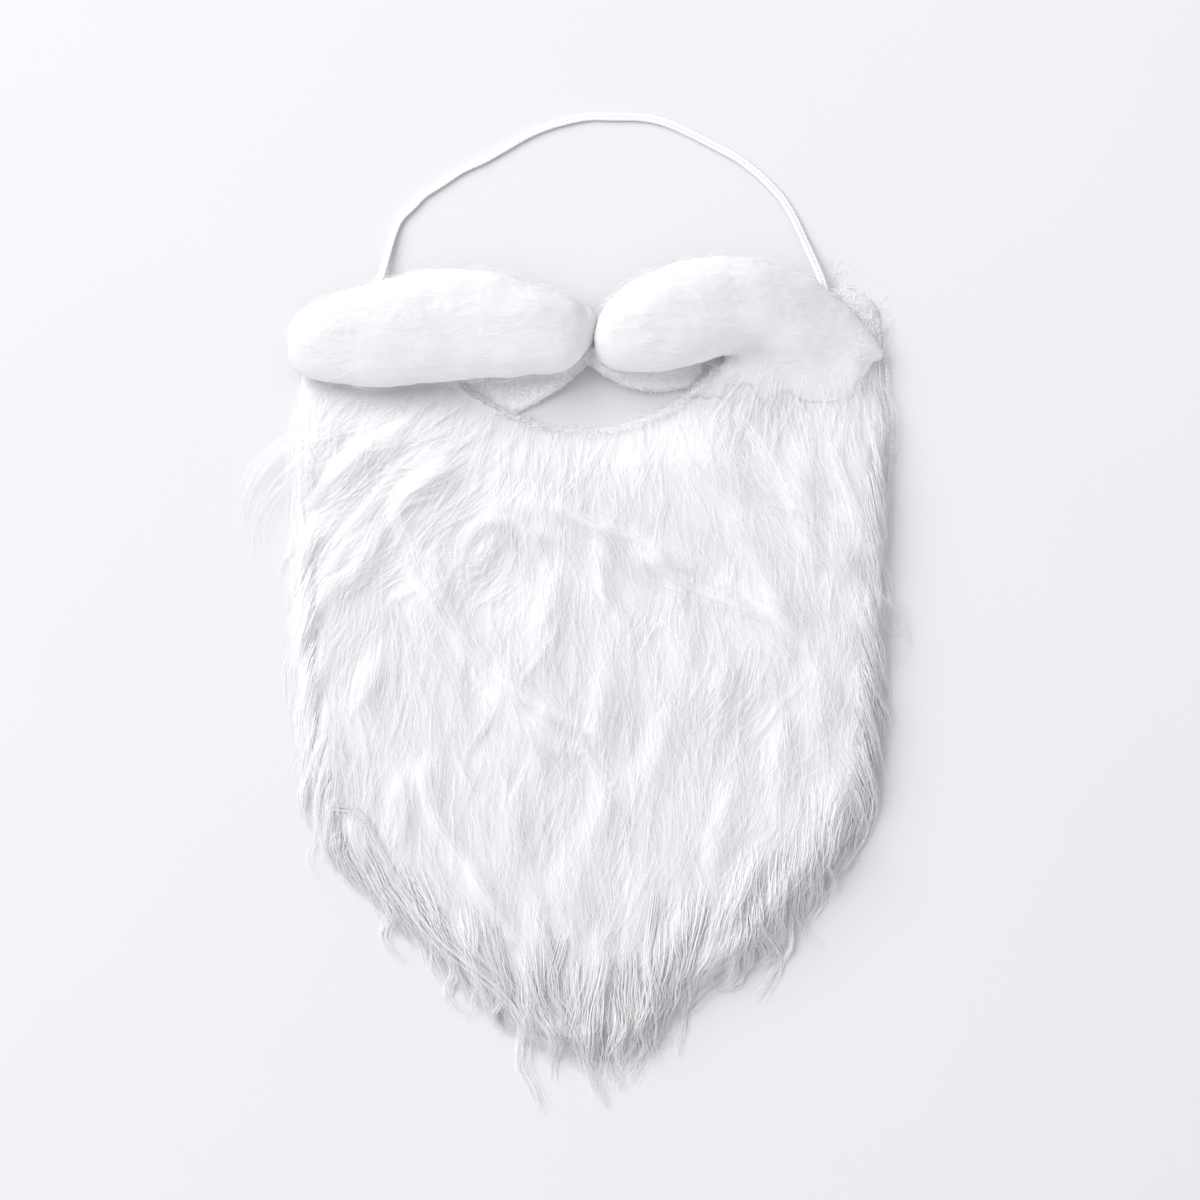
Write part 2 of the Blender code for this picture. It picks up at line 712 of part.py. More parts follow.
def build():
    clear_scene()
    parts = new_collection("fake_beard")
    cutters = new_collection("cutters")
    fur_white = new_material("fur_white", (0.90, 0.90, 0.92), 0.75)
    roll_white = new_material("roll_white", (0.86, 0.86, 0.88), 0.85)
    lip_white = new_material("lip_white", (0.88, 0.88, 0.90), 0.90)
    elastic_white = new_material("elastic_white", (0.90, 0.90, 0.91), 0.60)

    inner_left, inner_right = MEET_X - ROLL_GAP / 2, MEET_X + ROLL_GAP / 2
    roll_sizes = (
        ("left", LEFT_ROLL_ROWS, inner_left, ROLL_LEFT_END_X),
        ("right", RIGHT_ROLL_ROWS, inner_right, ROLL_RIGHT_END_X),
    )
    channel = make_cord_curve("channel_curve", CORD_DIAMETER / 2 + CLEARANCE, cutters)
    channel = mesh_of_curve(channel, "cord_channel", cutters)

    fur = make_fur_slab(fur_white, parts)
    fuse_locks(fur, make_locks(cutters))
    add_boolean(fur, "DIFFERENCE", make_mouth_cutter(cutters))
    for side, rows, start_x, end_x in roll_sizes:
        roll = make_roll(f"moustache_roll_{side}", rows, start_x, end_x, 0.0, parts)
        roll.data.materials.append(roll_white)
        add_boolean(roll, "DIFFERENCE", channel)
        room = make_roll(f"roll_room_{side}", rows, start_x, end_x, CLEARANCE, cutters)
        add_boolean(fur, "DIFFERENCE", hide_as_cutter(room))
    add_boolean(fur, "DIFFERENCE", hide_as_cutter(make_lip_band("lip_room", CLEARANCE, cutters)))
    add_boolean(fur, "DIFFERENCE", channel)

    lip = make_lip_band("lip_band", 0.0, parts)
    lip.data.materials.append(lip_white)
    cord = make_cord_curve("elastic_cord", CORD_DIAMETER / 2, parts)
    cord.data.materials.append(elastic_white)


build()
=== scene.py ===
# %% [markdown]
# # A white fake beard, lying face up
#
# The real thing is a piece of long-pile fur cloth with a mouth hole, a thin cloth band behind
# the moustache, two rolls of soft batting, and an elastic that goes round the head.
# This notebook dresses a fixed set of plain solids, one for each of those parts, with the
# cloth, the batting, the elastic and about thirty thousand strands of hair.
#
# The solids are loaded first and never changed. Everything is in metres, with +Z up, +Y
# towards the moustache, and the surface that the beard lies on at z = 0.

# %% Load the solids
import math
from collections import namedtuple

import bmesh
import bpy
import numpy as np
from mathutils import Matrix, Vector, noise
from mathutils.bvhtree import BVHTree


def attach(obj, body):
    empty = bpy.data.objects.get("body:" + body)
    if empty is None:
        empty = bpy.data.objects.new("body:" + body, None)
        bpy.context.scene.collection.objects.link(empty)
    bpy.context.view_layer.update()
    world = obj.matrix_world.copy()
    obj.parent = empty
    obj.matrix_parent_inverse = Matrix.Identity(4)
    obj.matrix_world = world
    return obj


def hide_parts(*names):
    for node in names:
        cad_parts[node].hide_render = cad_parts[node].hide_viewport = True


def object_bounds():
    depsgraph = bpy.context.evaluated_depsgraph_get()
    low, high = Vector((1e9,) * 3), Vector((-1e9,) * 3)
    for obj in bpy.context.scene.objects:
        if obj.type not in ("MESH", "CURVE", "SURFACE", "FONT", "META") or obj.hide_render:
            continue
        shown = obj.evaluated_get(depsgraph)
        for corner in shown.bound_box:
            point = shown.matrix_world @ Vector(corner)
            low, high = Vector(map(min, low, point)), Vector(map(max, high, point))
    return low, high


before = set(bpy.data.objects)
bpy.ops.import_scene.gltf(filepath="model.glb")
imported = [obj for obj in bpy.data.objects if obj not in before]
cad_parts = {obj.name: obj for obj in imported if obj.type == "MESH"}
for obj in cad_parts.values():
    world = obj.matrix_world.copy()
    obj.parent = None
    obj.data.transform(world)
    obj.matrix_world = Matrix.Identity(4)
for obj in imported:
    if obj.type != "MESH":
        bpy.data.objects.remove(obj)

MM = 0.001
solid_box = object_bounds()
print("box of the solids, mm:", [[round(c / MM, 1) for c in corner] for corner in solid_box])

# %% [markdown]
# ## Camera, surface and light
#
# The beard was photographed from straight above, with so long a lens that nothing leans. A
# camera two metres up, whose lens just takes in half a metre, gives the same view. A closer
# camera with a short lens would make the tall rolls look bigger than they are.

# %% Camera
VIEW_WIDTH = 0.5
VIEW_CENTRE_X = 0.00917
VIEW_CENTRE_Y = 0.03604
CAMERA_HEIGHT = 2.2
SENSOR_WIDTH = 36.0

camera_data = bpy.data.cameras.new("camera")
camera_data.sensor_width = SENSOR_WIDTH
camera_data.lens = SENSOR_WIDTH * CAMERA_HEIGHT / VIEW_WIDTH
camera = bpy.data.objects.new("camera", camera_data)
camera.location = (VIEW_CENTRE_X, VIEW_CENTRE_Y, CAMERA_HEIGHT)
bpy.context.scene.collection.objects.link(camera)
bpy.context.scene.camera = camera
print("lens:", round(camera_data.lens, 1), "mm")

# %% [markdown]
# ## Sums on sockets
#
# A procedural finish is a sum over textures. Written as nodes, each plus sign takes four
# lines. The class below wraps a socket, so that a sum is written as a sum and the nodes are
# added behind it. The same class serves materials and geometry nodes.


# %% The class for sums
class Wire:
    """A socket that works in sums: each operator adds the node that works it out."""

    def __init__(self, tree, socket=None):
        self.tree = tree
        self.socket = socket

    def node(self, kind, settings=None, inputs=None, output=0):
        """Any node: its settings first, then the values or links of its sockets."""
        made = self.tree.nodes.new(kind)
        for name, value in (settings or {}).items():
            setattr(made, name, value)
        for place, value in (inputs or {}).items():
            if isinstance(value, Wire):
                self.tree.links.new(value.socket, made.inputs[place])
            else:
                made.inputs[place].default_value = value
        return Wire(self.tree, made.outputs[output])

    def maths(self, operation, *values):
        """A Math node, or a Vector Math node where one of the values is a vector."""
        wires = [value for value in values if isinstance(value, Wire)]
        if any(wire.socket.type in ("VECTOR", "RGBA") for wire in wires):
            spread = [(v, v, v) if isinstance(v, (int, float)) else v for v in values]
            inputs = dict(enumerate(spread))
            return self.node("ShaderNodeVectorMath", {"operation": operation}, inputs)
        return self.node("ShaderNodeMath", {"operation": operation}, dict(enumerate(values)))

    def __add__(self, other):
        return self.maths("ADD", self, other)

    def __radd__(self, other):
        return self.maths("ADD", other, self)

    def __sub__(self, other):
        return self.maths("SUBTRACT", self, other)

    def __rsub__(self, other):
        return self.maths("SUBTRACT", other, self)

    def __mul__(self, other):
        return self.maths("MULTIPLY", self, other)

    def __rmul__(self, other):
        return self.maths("MULTIPLY", other, self)

    def __pow__(self, other):
        return self.maths("POWER", self, other)

    def sin(self):
        return self.maths("SINE", self)

    def absolute(self):
        return self.maths("ABSOLUTE", self)

    def at_least(self, other):
        return self.maths("MAXIMUM", self, other)

    def parts(self):
        """The x, y and z of a vector."""
        first = self.node("ShaderNodeSeparateXYZ", {}, {0: self})
        outputs = first.socket.node.outputs
        return [Wire(self.tree, outputs[i]) for i in range(3)]

    def together(self, x, y, z):
        return self.node("ShaderNodeCombineXYZ", {}, {0: x, 1: y, 2: z})

    def places(self):
        """Where each point of the surface is, in metres."""
        return self.node("ShaderNodeTexCoord", {}, {}, 3)

    def noise(self, places, scale, detail=2.0, output=0):
        inputs = {"Vector": places, "Scale": scale, "Detail": detail}
        return self.node("ShaderNodeTexNoise", {}, inputs, output)

    def blend(self, share, first, second):
        """A colour between two colours."""
        inputs = {0: share, 6: first, 7: second}
        return self.node("ShaderNodeMix", {"data_type": "RGBA"}, inputs, 2)

    def attribute(self, name):
        """A number that is stored on the piece's own points."""
        settings = {"attribute_type": "GEOMETRY", "attribute_name": name}
        return self.node("ShaderNodeAttribute", settings, {}, 2)

    def bump(self, height, depth):
        return self.node("ShaderNodeBump", {}, {"Height": height, "Distance": depth})


def new_material(name):
    """A material, its tree as a wire, and its shader."""
    material = bpy.data.materials.new(name)
    material.use_nodes = True
    shader = material.node_tree.nodes["Principled BSDF"]
    return material, Wire(material.node_tree), shader


def feed(shader, name, wire):
    shader.id_data.links.new(wire.socket, shader.inputs[name])


def mesh_from(shell, name):
    """A named mesh from a bmesh, which is then freed."""
    mesh = bpy.data.meshes.new(name)
    shell.to_mesh(mesh)
    shell.free()
    return mesh


# %% [markdown]
# The surface is a plain sheet of white card. Its one finish is a very faint mottle, because
# a floor of one flat colour looks like no floor at all.

# %% Surface and light
FLOOR_SIZE = 6.0
FLOOR_WHITE = (0.660, 0.664, 0.676, 1.0)
FLOOR_SHADE = (0.642, 0.647, 0.660, 1.0)
FLOOR_ROUGHNESS = 0.85
MOTTLE_SCALE = 6.0

floor_shell = bmesh.new()
bmesh.ops.create_grid(floor_shell, x_segments=4, y_segments=4, size=FLOOR_SIZE / 2)
floor_mesh = mesh_from(floor_shell, "floor")
floor = bpy.data.objects.new("floor", floor_mesh)
bpy.context.scene.collection.objects.link(floor)
floor_material, wires, shader = new_material("white_card")
mottle = wires.noise(wires.places(), MOTTLE_SCALE)
feed(shader, "Base Color", wires.blend(mottle, FLOOR_WHITE, FLOOR_SHADE))
shader.inputs["Roughness"].default_value = FLOOR_ROUGHNESS
floor_mesh.materials.append(floor_material)

WINDOW_PLACE = Vector((-2.50, 2.20, 2.75))
WINDOW_SIZE = 4.0
WINDOW_POWER = 216.0
SKY_STRENGTH = 0.74
SKY_COLOUR = (0.97, 0.98, 1.0, 1.0)

window_data = bpy.data.lights.new("window", "AREA")
window_data.shape = "DISK"
window_data.size = WINDOW_SIZE
window_data.energy = WINDOW_POWER
window = bpy.data.objects.new("window", window_data)
window.location = WINDOW_PLACE
aim = Vector((VIEW_CENTRE_X, VIEW_CENTRE_Y, 0.0)) - WINDOW_PLACE
window.rotation_mode = "QUATERNION"
window.rotation_quaternion = aim.to_track_quat("-Z", "Y")
bpy.context.scene.collection.objects.link(window)

world = bpy.data.worlds.new("sky")
world.use_nodes = True
sky = world.node_tree.nodes["Background"]
sky.inputs["Color"].default_value = SKY_COLOUR
sky.inputs["Strength"].default_value = SKY_STRENGTH
bpy.context.scene.world = world
bpy.context.scene.view_settings.view_transform = "Standard"
print("one wide window and an even sky")

# %% [markdown]
# ## The elastic
#
# A thin flat elastic goes out from under one end of the moustache, round in an arch on the
# table, and back under the other end. Close up it is two braided ribs with a groove between.
#
# It could be a curve with a round bevel, but that shows neither the ribs nor the turns. So
# rings of points are set along the route, each turned about it, and joined into a tube.

# %% Smooth paths through a few points


def smooth_path(points, count):
    """Even steps along a smooth curve through a few points, as an array."""
    points = np.asarray(points, dtype=float)
    before = np.vstack([points[:1], points[:-2]])
    after = np.vstack([points[2:], points[-1:]])
    start, end = points[:-1], points[1:]
    t = np.linspace(0.0, 1.0, 12, endpoint=False)[None, :, None]
    first, second = (end - before) * 0.5, (after - start) * 0.5
    curve = (
        (2 * t**3 - 3 * t**2 + 1) * start[:, None]
        + (t**3 - 2 * t**2 + t) * first[:, None]
        + (3 * t**2 - 2 * t**3) * end[:, None]
        + (t**3 - t**2) * second[:, None]
    )
    fine = np.vstack([curve.reshape(-1, points.shape[1]), points[-1:]])
    steps = np.linalg.norm(np.diff(fine, axis=0), axis=1)
    reached = np.concatenate([[0.0], np.cumsum(steps)])
    wanted = np.linspace(0.0, reached[-1], count)
    return np.stack([np.interp(wanted, reached, column) for column in fine.T], axis=1)


def path_length(path):
    return float(np.linalg.norm(np.diff(path, axis=0), axis=1).sum())


def add_piece(name, mesh, material, node, smooth=True):
    """Links a finished mesh, puts it under the root body, and hides the solid it stands for."""
    piece = bpy.data.objects.new(name, mesh)
    bpy.context.scene.collection.objects.link(piece)
    mesh.materials.clear()
    mesh.materials.append(material)
    if smooth:
        mesh.shade_smooth()
    else:
        mesh.shade_flat()
    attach(piece, "root")
    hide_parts(node)
    mesh.calc_loop_triangles()
    print(name, len(mesh.loop_triangles), "triangles")
    return piece


# %% The elastic's route, ribs and turns
ELASTIC_WIDTH = 0.0033
ELASTIC_THICKNESS = 0.0017
ELASTIC_RINGS = 260
ELASTIC_SIDES = 20
GROOVE_DEPTH = 0.40
GROOVE_WIDTH = 0.28

Turn = namedtuple("Turn", "along degrees")
ELASTIC_TURNS = (
    Turn(0.00, 0),
    Turn(0.07, 8),
    Turn(0.12, 38),
    Turn(0.20, 12),
    Turn(0.45, 4),
    Turn(0.62, -6),
    Turn(0.78, 10),
    Turn(0.90, 24),
    Turn(1.00, 0),
)
ELASTIC_ROUTE_MM = (
    (-88.5, 156.0, 5.25),
    (-85.5, 164.0, 5.25),
    (-82.1, 170.5, 4.70),
    (-79.6, 179.4, 2.70),
    (-76.2, 190.2, 1.40),
    (-73.5, 195.4, 1.15),
    (-68.3, 200.6, 1.05),
    (-64.2, 204.8, 1.00),
    (-56.2, 210.0, 1.00),
    (-48.3, 215.2, 1.00),
    (-39.2, 219.4, 1.00),
    (-31.0, 224.0, 1.00),
    (-21.7, 229.4, 1.00),
    (-13.7, 232.9, 1.00),
    (-4.6, 235.6, 1.00),
    (4.8, 237.3, 1.00),
    (15.4, 237.2, 1.00),
    (24.8, 237.1, 1.00),
    (32.7, 235.9, 1.00),
    (39.4, 233.7, 1.00),
    (48.7, 229.4, 1.00),
    (57.9, 224.6, 1.00),
    (65.8, 220.4, 1.00),
    (73.9, 214.4, 1.05),
    (80.6, 208.1, 1.10),
    (85.8, 202.0, 1.20),
    (90.4, 194.1, 1.50),
    (94.6, 184.8, 2.40),
    (98.5, 176.1, 4.00),
    (101.8, 167.5, 5.25),
    (103.5, 160.0, 5.25),
    (105.0, 153.0, 5.25),
)


def two_ribbed_ring(sides):
    """The section of the elastic, in shares of its half width and half thickness."""
    ring = []
    for i in range(sides):
        angle = 2 * math.pi * i / sides
        across = math.cos(angle)
        waist = 1 - GROOVE_DEPTH * math.exp(-((across / GROOVE_WIDTH) ** 2))
        up = math.copysign(abs(math.sin(angle)) ** 0.7, math.sin(angle))
        ring.append((across, up * waist))
    return ring


def make_elastic():
    route = smooth_path(np.array(ELASTIC_ROUTE_MM) * MM, ELASTIC_RINGS)
    ring = two_ribbed_ring(ELASTIC_SIDES)
    share = np.linspace(0.0, 1.0, ELASTIC_RINGS)
    places = [turn.along for turn in ELASTIC_TURNS]
    turns = np.radians(np.interp(share, places, [turn.degrees for turn in ELASTIC_TURNS]))
    ahead = np.gradient(route, axis=0)
    shell = bmesh.new()
    along_layer = shell.verts.layers.float.new("run")
    around_layer = shell.verts.layers.float.new("around")
    rings = []
    reached = share * path_length(route)
    for i in range(ELASTIC_RINGS):
        forward = Vector(ahead[i]).normalized()
        side = forward.cross(Vector((0, 0, 1))).normalized()
        up = side.cross(forward)
        wide = side * math.cos(turns[i]) + up * math.sin(turns[i])
        thick = up * math.cos(turns[i]) - side * math.sin(turns[i])
        loop = []
        for across, rise in ring:
            at = Vector(route[i]) + wide * across * ELASTIC_WIDTH / 2
            vert = shell.verts.new(at + thick * rise * ELASTIC_THICKNESS / 2)
            vert[along_layer] = reached[i]
            vert[around_layer] = across
            loop.append(vert)
        rings.append(loop)
    for low, high in zip(rings, rings[1:]):
        for k in range(ELASTIC_SIDES):
            j = (k + 1) % ELASTIC_SIDES
            shell.faces.new((low[k], low[j], high[j], high[k]))
    shell.faces.new(rings[0])
    shell.faces.new(rings[-1])
    bmesh.ops.recalc_face_normals(shell, faces=list(shell.faces))
    return mesh_from(shell, "elastic_band"), route


# %% [markdown]
# A braid's yarns cross at a slant, one way on one rib and the other way on the next. Two
# slanting waves, read from the numbers stored on the tube, give that at any turn of the band.

# %% The braid and the finished elastic
BRAID_PITCH = 0.0011
BRAID_DEPTH = 0.00022
YARN_GREY = (0.78, 0.79, 0.82, 1)
YARN_WHITE = (0.93, 0.93, 0.945, 1)
GROOVE_PAINTED_SHADE = (0.55, 0.56, 0.60, 1)

braid_material, wires, shader = new_material("braided_elastic")
run = wires.attribute("run") * (2 * math.pi / BRAID_PITCH)
around = wires.attribute("around")
slant = around.absolute() * 5.0
yarns = (run + slant).sin() * 0.5 + 0.5
dents = (run * 0.5 - around * 9.0).sin() * 0.5 + 0.5
braid = yarns * 0.65 + dents * 0.35
# Painted shade: the groove between the two ribs is coloured darker.
groove_painted_shade = (1.0 - around.absolute()) ** 6.0
yarn_colour = wires.blend(braid, YARN_GREY, YARN_WHITE)
feed(shader, "Base Color", wires.blend(groove_painted_shade * 0.7, yarn_colour, GROOVE_PAINTED_SHADE))
feed(shader, "Roughness", 0.75 - braid * 0.25)
feed(shader, "Normal", wires.bump(braid, BRAID_DEPTH))
shader.inputs["Sheen Weight"].default_value = 0.15

elastic_mesh, elastic_path = make_elastic()
elastic = add_piece("elastic_band", elastic_mesh, braid_material, "elastic_cord")
print("elastic length, mm:", round(path_length(elastic_path) / MM, 1))

# %% [markdown]
# ## Where the pile is, and which way it lies
#
# Hair is drawn over a form that is already there. So the form is measured: rays go down on a
# fine grid, and the heights where they meet the solids are kept in a table of numbers. A
# strand can then ask how high the pile is at any place.
#
# Two finer forms are added to these heights: the batting's swell where the right roll thins
# out over the cheek, and the crests of a few ridges, each drawn as some points.

# %% How far the hair reaches
Reach = namedtuple("Reach", "y left right")
REACH_MM = (
    Reach(130, -117, 128),
    Reach(101, -118, 133),
    Reach(77, -118.5, 130),
    Reach(50, -119, 129),
    Reach(8, -119.5, 127),
    Reach(-19, -117, 126),
    Reach(-45, -113.5, 123),
    Reach(-66, -104.5, 116),
    Reach(-90, -82, 96),
    Reach(-106, -65, 82),
    Reach(-122, -49, 56),
    Reach(-140, -32, 37),
    Reach(-157, -6, 26),
    Reach(-172, 3, 15),
)


def hair_reach(y):
    """The left and right ends of the hair at places down the beard."""
    rows = np.array([tuple(row) for row in REACH_MM[::-1]], dtype=float) * MM
    return np.interp(y, rows[:, 0], rows[:, 1]), np.interp(y, rows[:, 0], rows[:, 2])


def ease(value):
    """0 below 0, 1 above 1, and a soft step between."""
    value = np.clip(value, 0.0, 1.0)
    return value * value * (3.0 - 2.0 * value)


# %% Height of the pile
GRID_STEP = 0.002
GRID_MARGIN = 0.020


def solid_tree(*nodes):
    """A tree for rays, of the solids with these names."""
    points, faces = [], []
    for node in nodes:
        mesh = bpy.data.objects[node].data
        start = len(points)
        points += [vertex.co.copy() for vertex in mesh.vertices]
        faces += [[start + i for i in polygon.vertices] for polygon in mesh.polygons]
    return BVHTree.FromPolygons(points, faces)


class HeightMap:
    """Heights of the solids above the table on a fine grid, softened a little."""

    def __init__(self, *nodes):
        low, high = solid_box
        self.low = np.array([low.x - GRID_MARGIN, low.y - GRID_MARGIN])
        count = np.ceil((np.array([high.x, high.y]) + GRID_MARGIN - self.low) / GRID_STEP)
        self.count = count.astype(int) + 1
        tree = solid_tree(*nodes)
        down = Vector((0, 0, -1))
        heights = np.zeros(self.count)
        for i in range(self.count[0]):
            for j in range(self.count[1]):
                at = self.low + np.array([i, j]) * GRID_STEP
                hit = tree.ray_cast(Vector((at[0], at[1], 0.1)), down)[0]
                heights[i, j] = hit.z if hit else 0.0
        for _ in range(2):
            padded = np.pad(heights, 1, mode="edge")
            beside = padded[:-2, 1:-1] + padded[2:, 1:-1] + padded[1:-1, :-2] + padded[1:-1, 2:]
            heights = 0.5 * heights + 0.125 * beside
        self.heights = heights

    def at(self, places):
        """Heights at an array of places whose last axis is x and y."""
        steps = (places[..., :2] - self.low) / GRID_STEP
        steps = np.clip(steps, 0, self.count - 1.001)
        cell = steps.astype(int)
        share = steps - cell
        i, j = cell[..., 0], cell[..., 1]
        s, t = share[..., 0], share[..., 1]
        near = self.heights[i, j] * (1 - s) + self.heights[i + 1, j] * s
        far = self.heights[i, j + 1] * (1 - s) + self.heights[i + 1, j + 1] * s
        return near * (1 - t) + far * t


def chin_taper(places):
    """How much of its height the pile keeps: less near the loose rim at the chin."""
    left, right = hair_reach(places[..., 1])
    inside = np.minimum(places[..., 0] - left, right - places[..., 0])
    inside = np.minimum(inside, places[..., 1] + 0.158)
    low = ease((-0.040 - places[..., 1]) / 0.050)
    return 1 - 0.60 * low * (1 - ease(inside / 0.018))


# %% The swell over the cheek, and the ridges
CHEEK_SWELL = 8.5 * MM
TUFT_EDGE_MM = (46.4, 128.6)
TUFT_SLOPE = (0.636, -0.772)


def cheek_share(places):
    """From 0 to 1: how much of the batting's swell over the cheek there is at each place."""
    x, y = places[..., 0] / MM, places[..., 1] / MM
    past_edge = (x - TUFT_EDGE_MM[0]) * TUFT_SLOPE[0] + (y - TUFT_EDGE_MM[1]) * TUFT_SLOPE[1]
    share = ease((y - 108.0) / 26.0) * ease((152.0 - y) / 8.0)
    return share * ease(past_edge / 6.0) * ease((124.5 - x) / 9.0)


Drawn = namedtuple("Drawn", "width guides lift points")
RIDGES_MM = (
    Drawn(5.0, 9, 1.6, ((-64, 55), (-55, 34), (-41, 10), (-20, -6), (9, -20))),
    Drawn(4.0, 6, 1.4, ((-70, 50), (-62, 36), (-50, 16), (-36, -4))),
    Drawn(6.0, 9, 1.4, ((-56, 91), (-75, 79), (-73, 65), (-59, 48))),
    Drawn(4.5, 7, 1.5, ((-49, 52), (-46, 64), (-35, 70), (-24, 66), (-19, 56))),
    Drawn(4.0, 8, 1.5, ((-8, 76), (5, 67), (20, 63), (32, 56), (42, 41), (53, 36))),
    Drawn(4.5, 7, 1.4, ((28, 54), (50, 40), (81, 29))),
    Drawn(5.0, 8, 1.4, ((60, 44), (78, 32), (94, 17))),
    Drawn(2.6, 4, 1.2, ((34, 28), (47, 13))),
    Drawn(2.4, 3, 1.2, ((8, 42), (22, 19))),
    Drawn(5.0, 7, 1.3, ((-65, -34), (-60, -54), (-46, -75), (-27, -104))),
    Drawn(1.6, 3, 1.6, ((-68, 40), (-80, 36))),
    Drawn(2.2, 3, 1.4, ((0, -24), (17, -47))),
    Drawn(4.0, 5, 1.2, ((67, 112), (81, 92), (90, 70), (98, 52))),
    Drawn(4.0, 5, 1.2, ((104, 100), (113, 78), (118, 55))),
    Drawn(5.0, 6, 1.2, ((-72, 110), (-94, 97), (-110, 78))),
    Drawn(5.0, 6, 1.2, ((-64, 98), (-82, 81), (-101, 55))),
)
RIDGE_RISE = 1.4 * MM


def distance_to(line, places):
    """How far each place is, in plan, from the nearest point of a line."""
    near = np.full(places.shape[:-1], 1.0)
    for x, y in line:
        near = np.minimum(near, np.hypot(places[..., 0] - x, places[..., 1] - y))
    return near


def ridge_share(places):
    """From 0 to 1: how near the crest of a ridge each place is."""
    share = np.zeros(places.shape[:-1])
    for ridge in RIDGES_MM:
        points = np.array(ridge.points) * MM
        steps_of_a_mm = int(path_length(smooth_path(points, 12)) / MM) + 2
        near = distance_to(smooth_path(points, steps_of_a_mm), places)
        share = np.maximum(share, np.exp(-((near / (0.5 * ridge.width * MM)) ** 2)))
    return share


fur_heights = HeightMap("beard_fur")
grid_x = fur_heights.low[0] + GRID_STEP * np.arange(fur_heights.count[0])
grid_y = fur_heights.low[1] + GRID_STEP * np.arange(fur_heights.count[1])
grid_places = np.stack(np.meshgrid(grid_x, grid_y, indexing="ij"), axis=-1)
fur_heights.heights *= chin_taper(grid_places)
fur_heights.heights += CHEEK_SWELL * cheek_share(grid_places)
fur_heights.heights += RIDGE_RISE * ridge_share(grid_places)
all_heights = HeightMap("beard_fur", "moustache_roll_left", "moustache_roll_right", "lip_band")
print("grid of heights:", fur_heights.count, "highest, mm:", fur_heights.heights.max() / MM)

# %% [markdown]
# The direction of the hair comes from a rule. It fans out from the top, falls straight in
# the middle, and draws together at the tip. Strokes of an unseen brush turn it here and
# there, and swirls turn it round.

# %% Lay of the hair
BEARD_WIDTH = 0.253
BEARD_LENGTH = 0.358
TOP_Y = BEARD_LENGTH / 2

Stroke = namedtuple("Stroke", "x y reach degrees")
STROKES_MM = (
    Stroke(-103, 90, 20, -38),
    Stroke(-70, 84, 10, -62),
    Stroke(-60, 52, 10, 28),
    Stroke(-44, 20, 12, 34),
    Stroke(-16, -8, 11, 55),
    Stroke(-96, 22, 12, -26),
    Stroke(10, 66, 10, 55),
    Stroke(38, 48, 12, 48),
    Stroke(78, 32, 14, 44),
    Stroke(84, 88, 18, 32),
    Stroke(113, 78, 14, 14),
    Stroke(45, 16, 12, 36),
    Stroke(12, -40, 12, 28),
    Stroke(-62, -48, 12, 22),
    Stroke(-40, -86, 14, 30),
    Stroke(68, 122, 12, -30),
)
Swirl = namedtuple("Swirl", "x y reach spin")
SWIRLS_MM = (
    Swirl(-35, 52, 13, -0.7),
    Swirl(-82, 40, 11, 0.7),
    Swirl(30, 34, 11, -0.6),
    Swirl(58, -20, 14, 0.35),
)


def lay_of_hair(places):
    """Unit directions of the hair in plan at an array of places."""
    x, y = places[..., 0], places[..., 1]
    across, down = x / BEARD_WIDTH, (TOP_Y - y) / BEARD_LENGTH
    fan_left = -0.95 * ease((-across - 0.02) / 0.22)
    fan_right = 0.35 * ease((across - 0.05) / 0.25)
    top = 1 - ease((down - 0.28) / 0.26)
    gather = -1.7 * across * ease((down - 0.52) / 0.34)
    sway = 0.10 * np.sin(x / 0.013 + y / 0.031) + 0.08 * np.sin(y / 0.017 - x / 0.043)
    turn = np.arctan((fan_left + fan_right) * top + gather + sway)
    for stroke in STROKES_MM:
        away = np.hypot(x - stroke.x * MM, y - stroke.y * MM) / (stroke.reach * MM)
        share = 0.85 * np.exp(-away * away)
        turn = turn * (1 - share) + math.radians(stroke.degrees) * share
    heading = np.stack([np.sin(turn), -np.cos(turn)], axis=-1)
    for swirl in SWIRLS_MM:
        from_x, from_y = x - swirl.x * MM, y - swirl.y * MM
        away = np.hypot(from_x, from_y) / (swirl.reach * MM)
        pull = swirl.spin * 2.3 * np.exp(-away * away) / (swirl.reach * MM)
        heading = heading + np.stack([-from_y * pull, from_x * pull], axis=-1)
    return heading / np.linalg.norm(heading, axis=-1, keepdims=True)


def within_reach(plan, past_rim):
    """Holds paths inside the outline, each with its own allowance, wider at the chin."""
    left, right = hair_reach(plan[..., 1])
    allowed = past_rim * (1 + 1.3 * ease((-0.040 - plan[..., 1]) / 0.050))
    plan[..., 0] = np.clip(plan[..., 0], left - allowed, right + allowed)
    return plan


def comb(roots, lengths, count, chance):
    """Paths in plan that follow the lay from their roots, and turn down along the rim."""
    place = roots.copy()
    steps = (lengths / (count - 1))[:, None]
    past_rim = chance.normal(-0.0012, 0.0024, len(roots))
    paths = [place]
    for _ in range(count - 1):
        half = place + 0.5 * steps * lay_of_hair(place)
        place = within_reach(place + steps * lay_of_hair(half), past_rim)
        paths.append(place)
    return np.stack(paths, axis=1)


print("straight down in the middle:", lay_of_hair(np.array([[0.0, -0.02]])).round(2))

# %% [markdown]
# ## The tree that grows strands
#
# A few thousand guides are drawn in code, as plain lines. Geometry Nodes then makes several
# strands from each: it copies the line, moves each copy by its own random step, closes the
# copies towards the tip as real locks do, ruffles them, and gives them a thin tapered skin.
#
# Real hair curves would be lighter, but they are lost when a model is exported. Thin closed
# tubes of three sides are plain mesh, and stay.

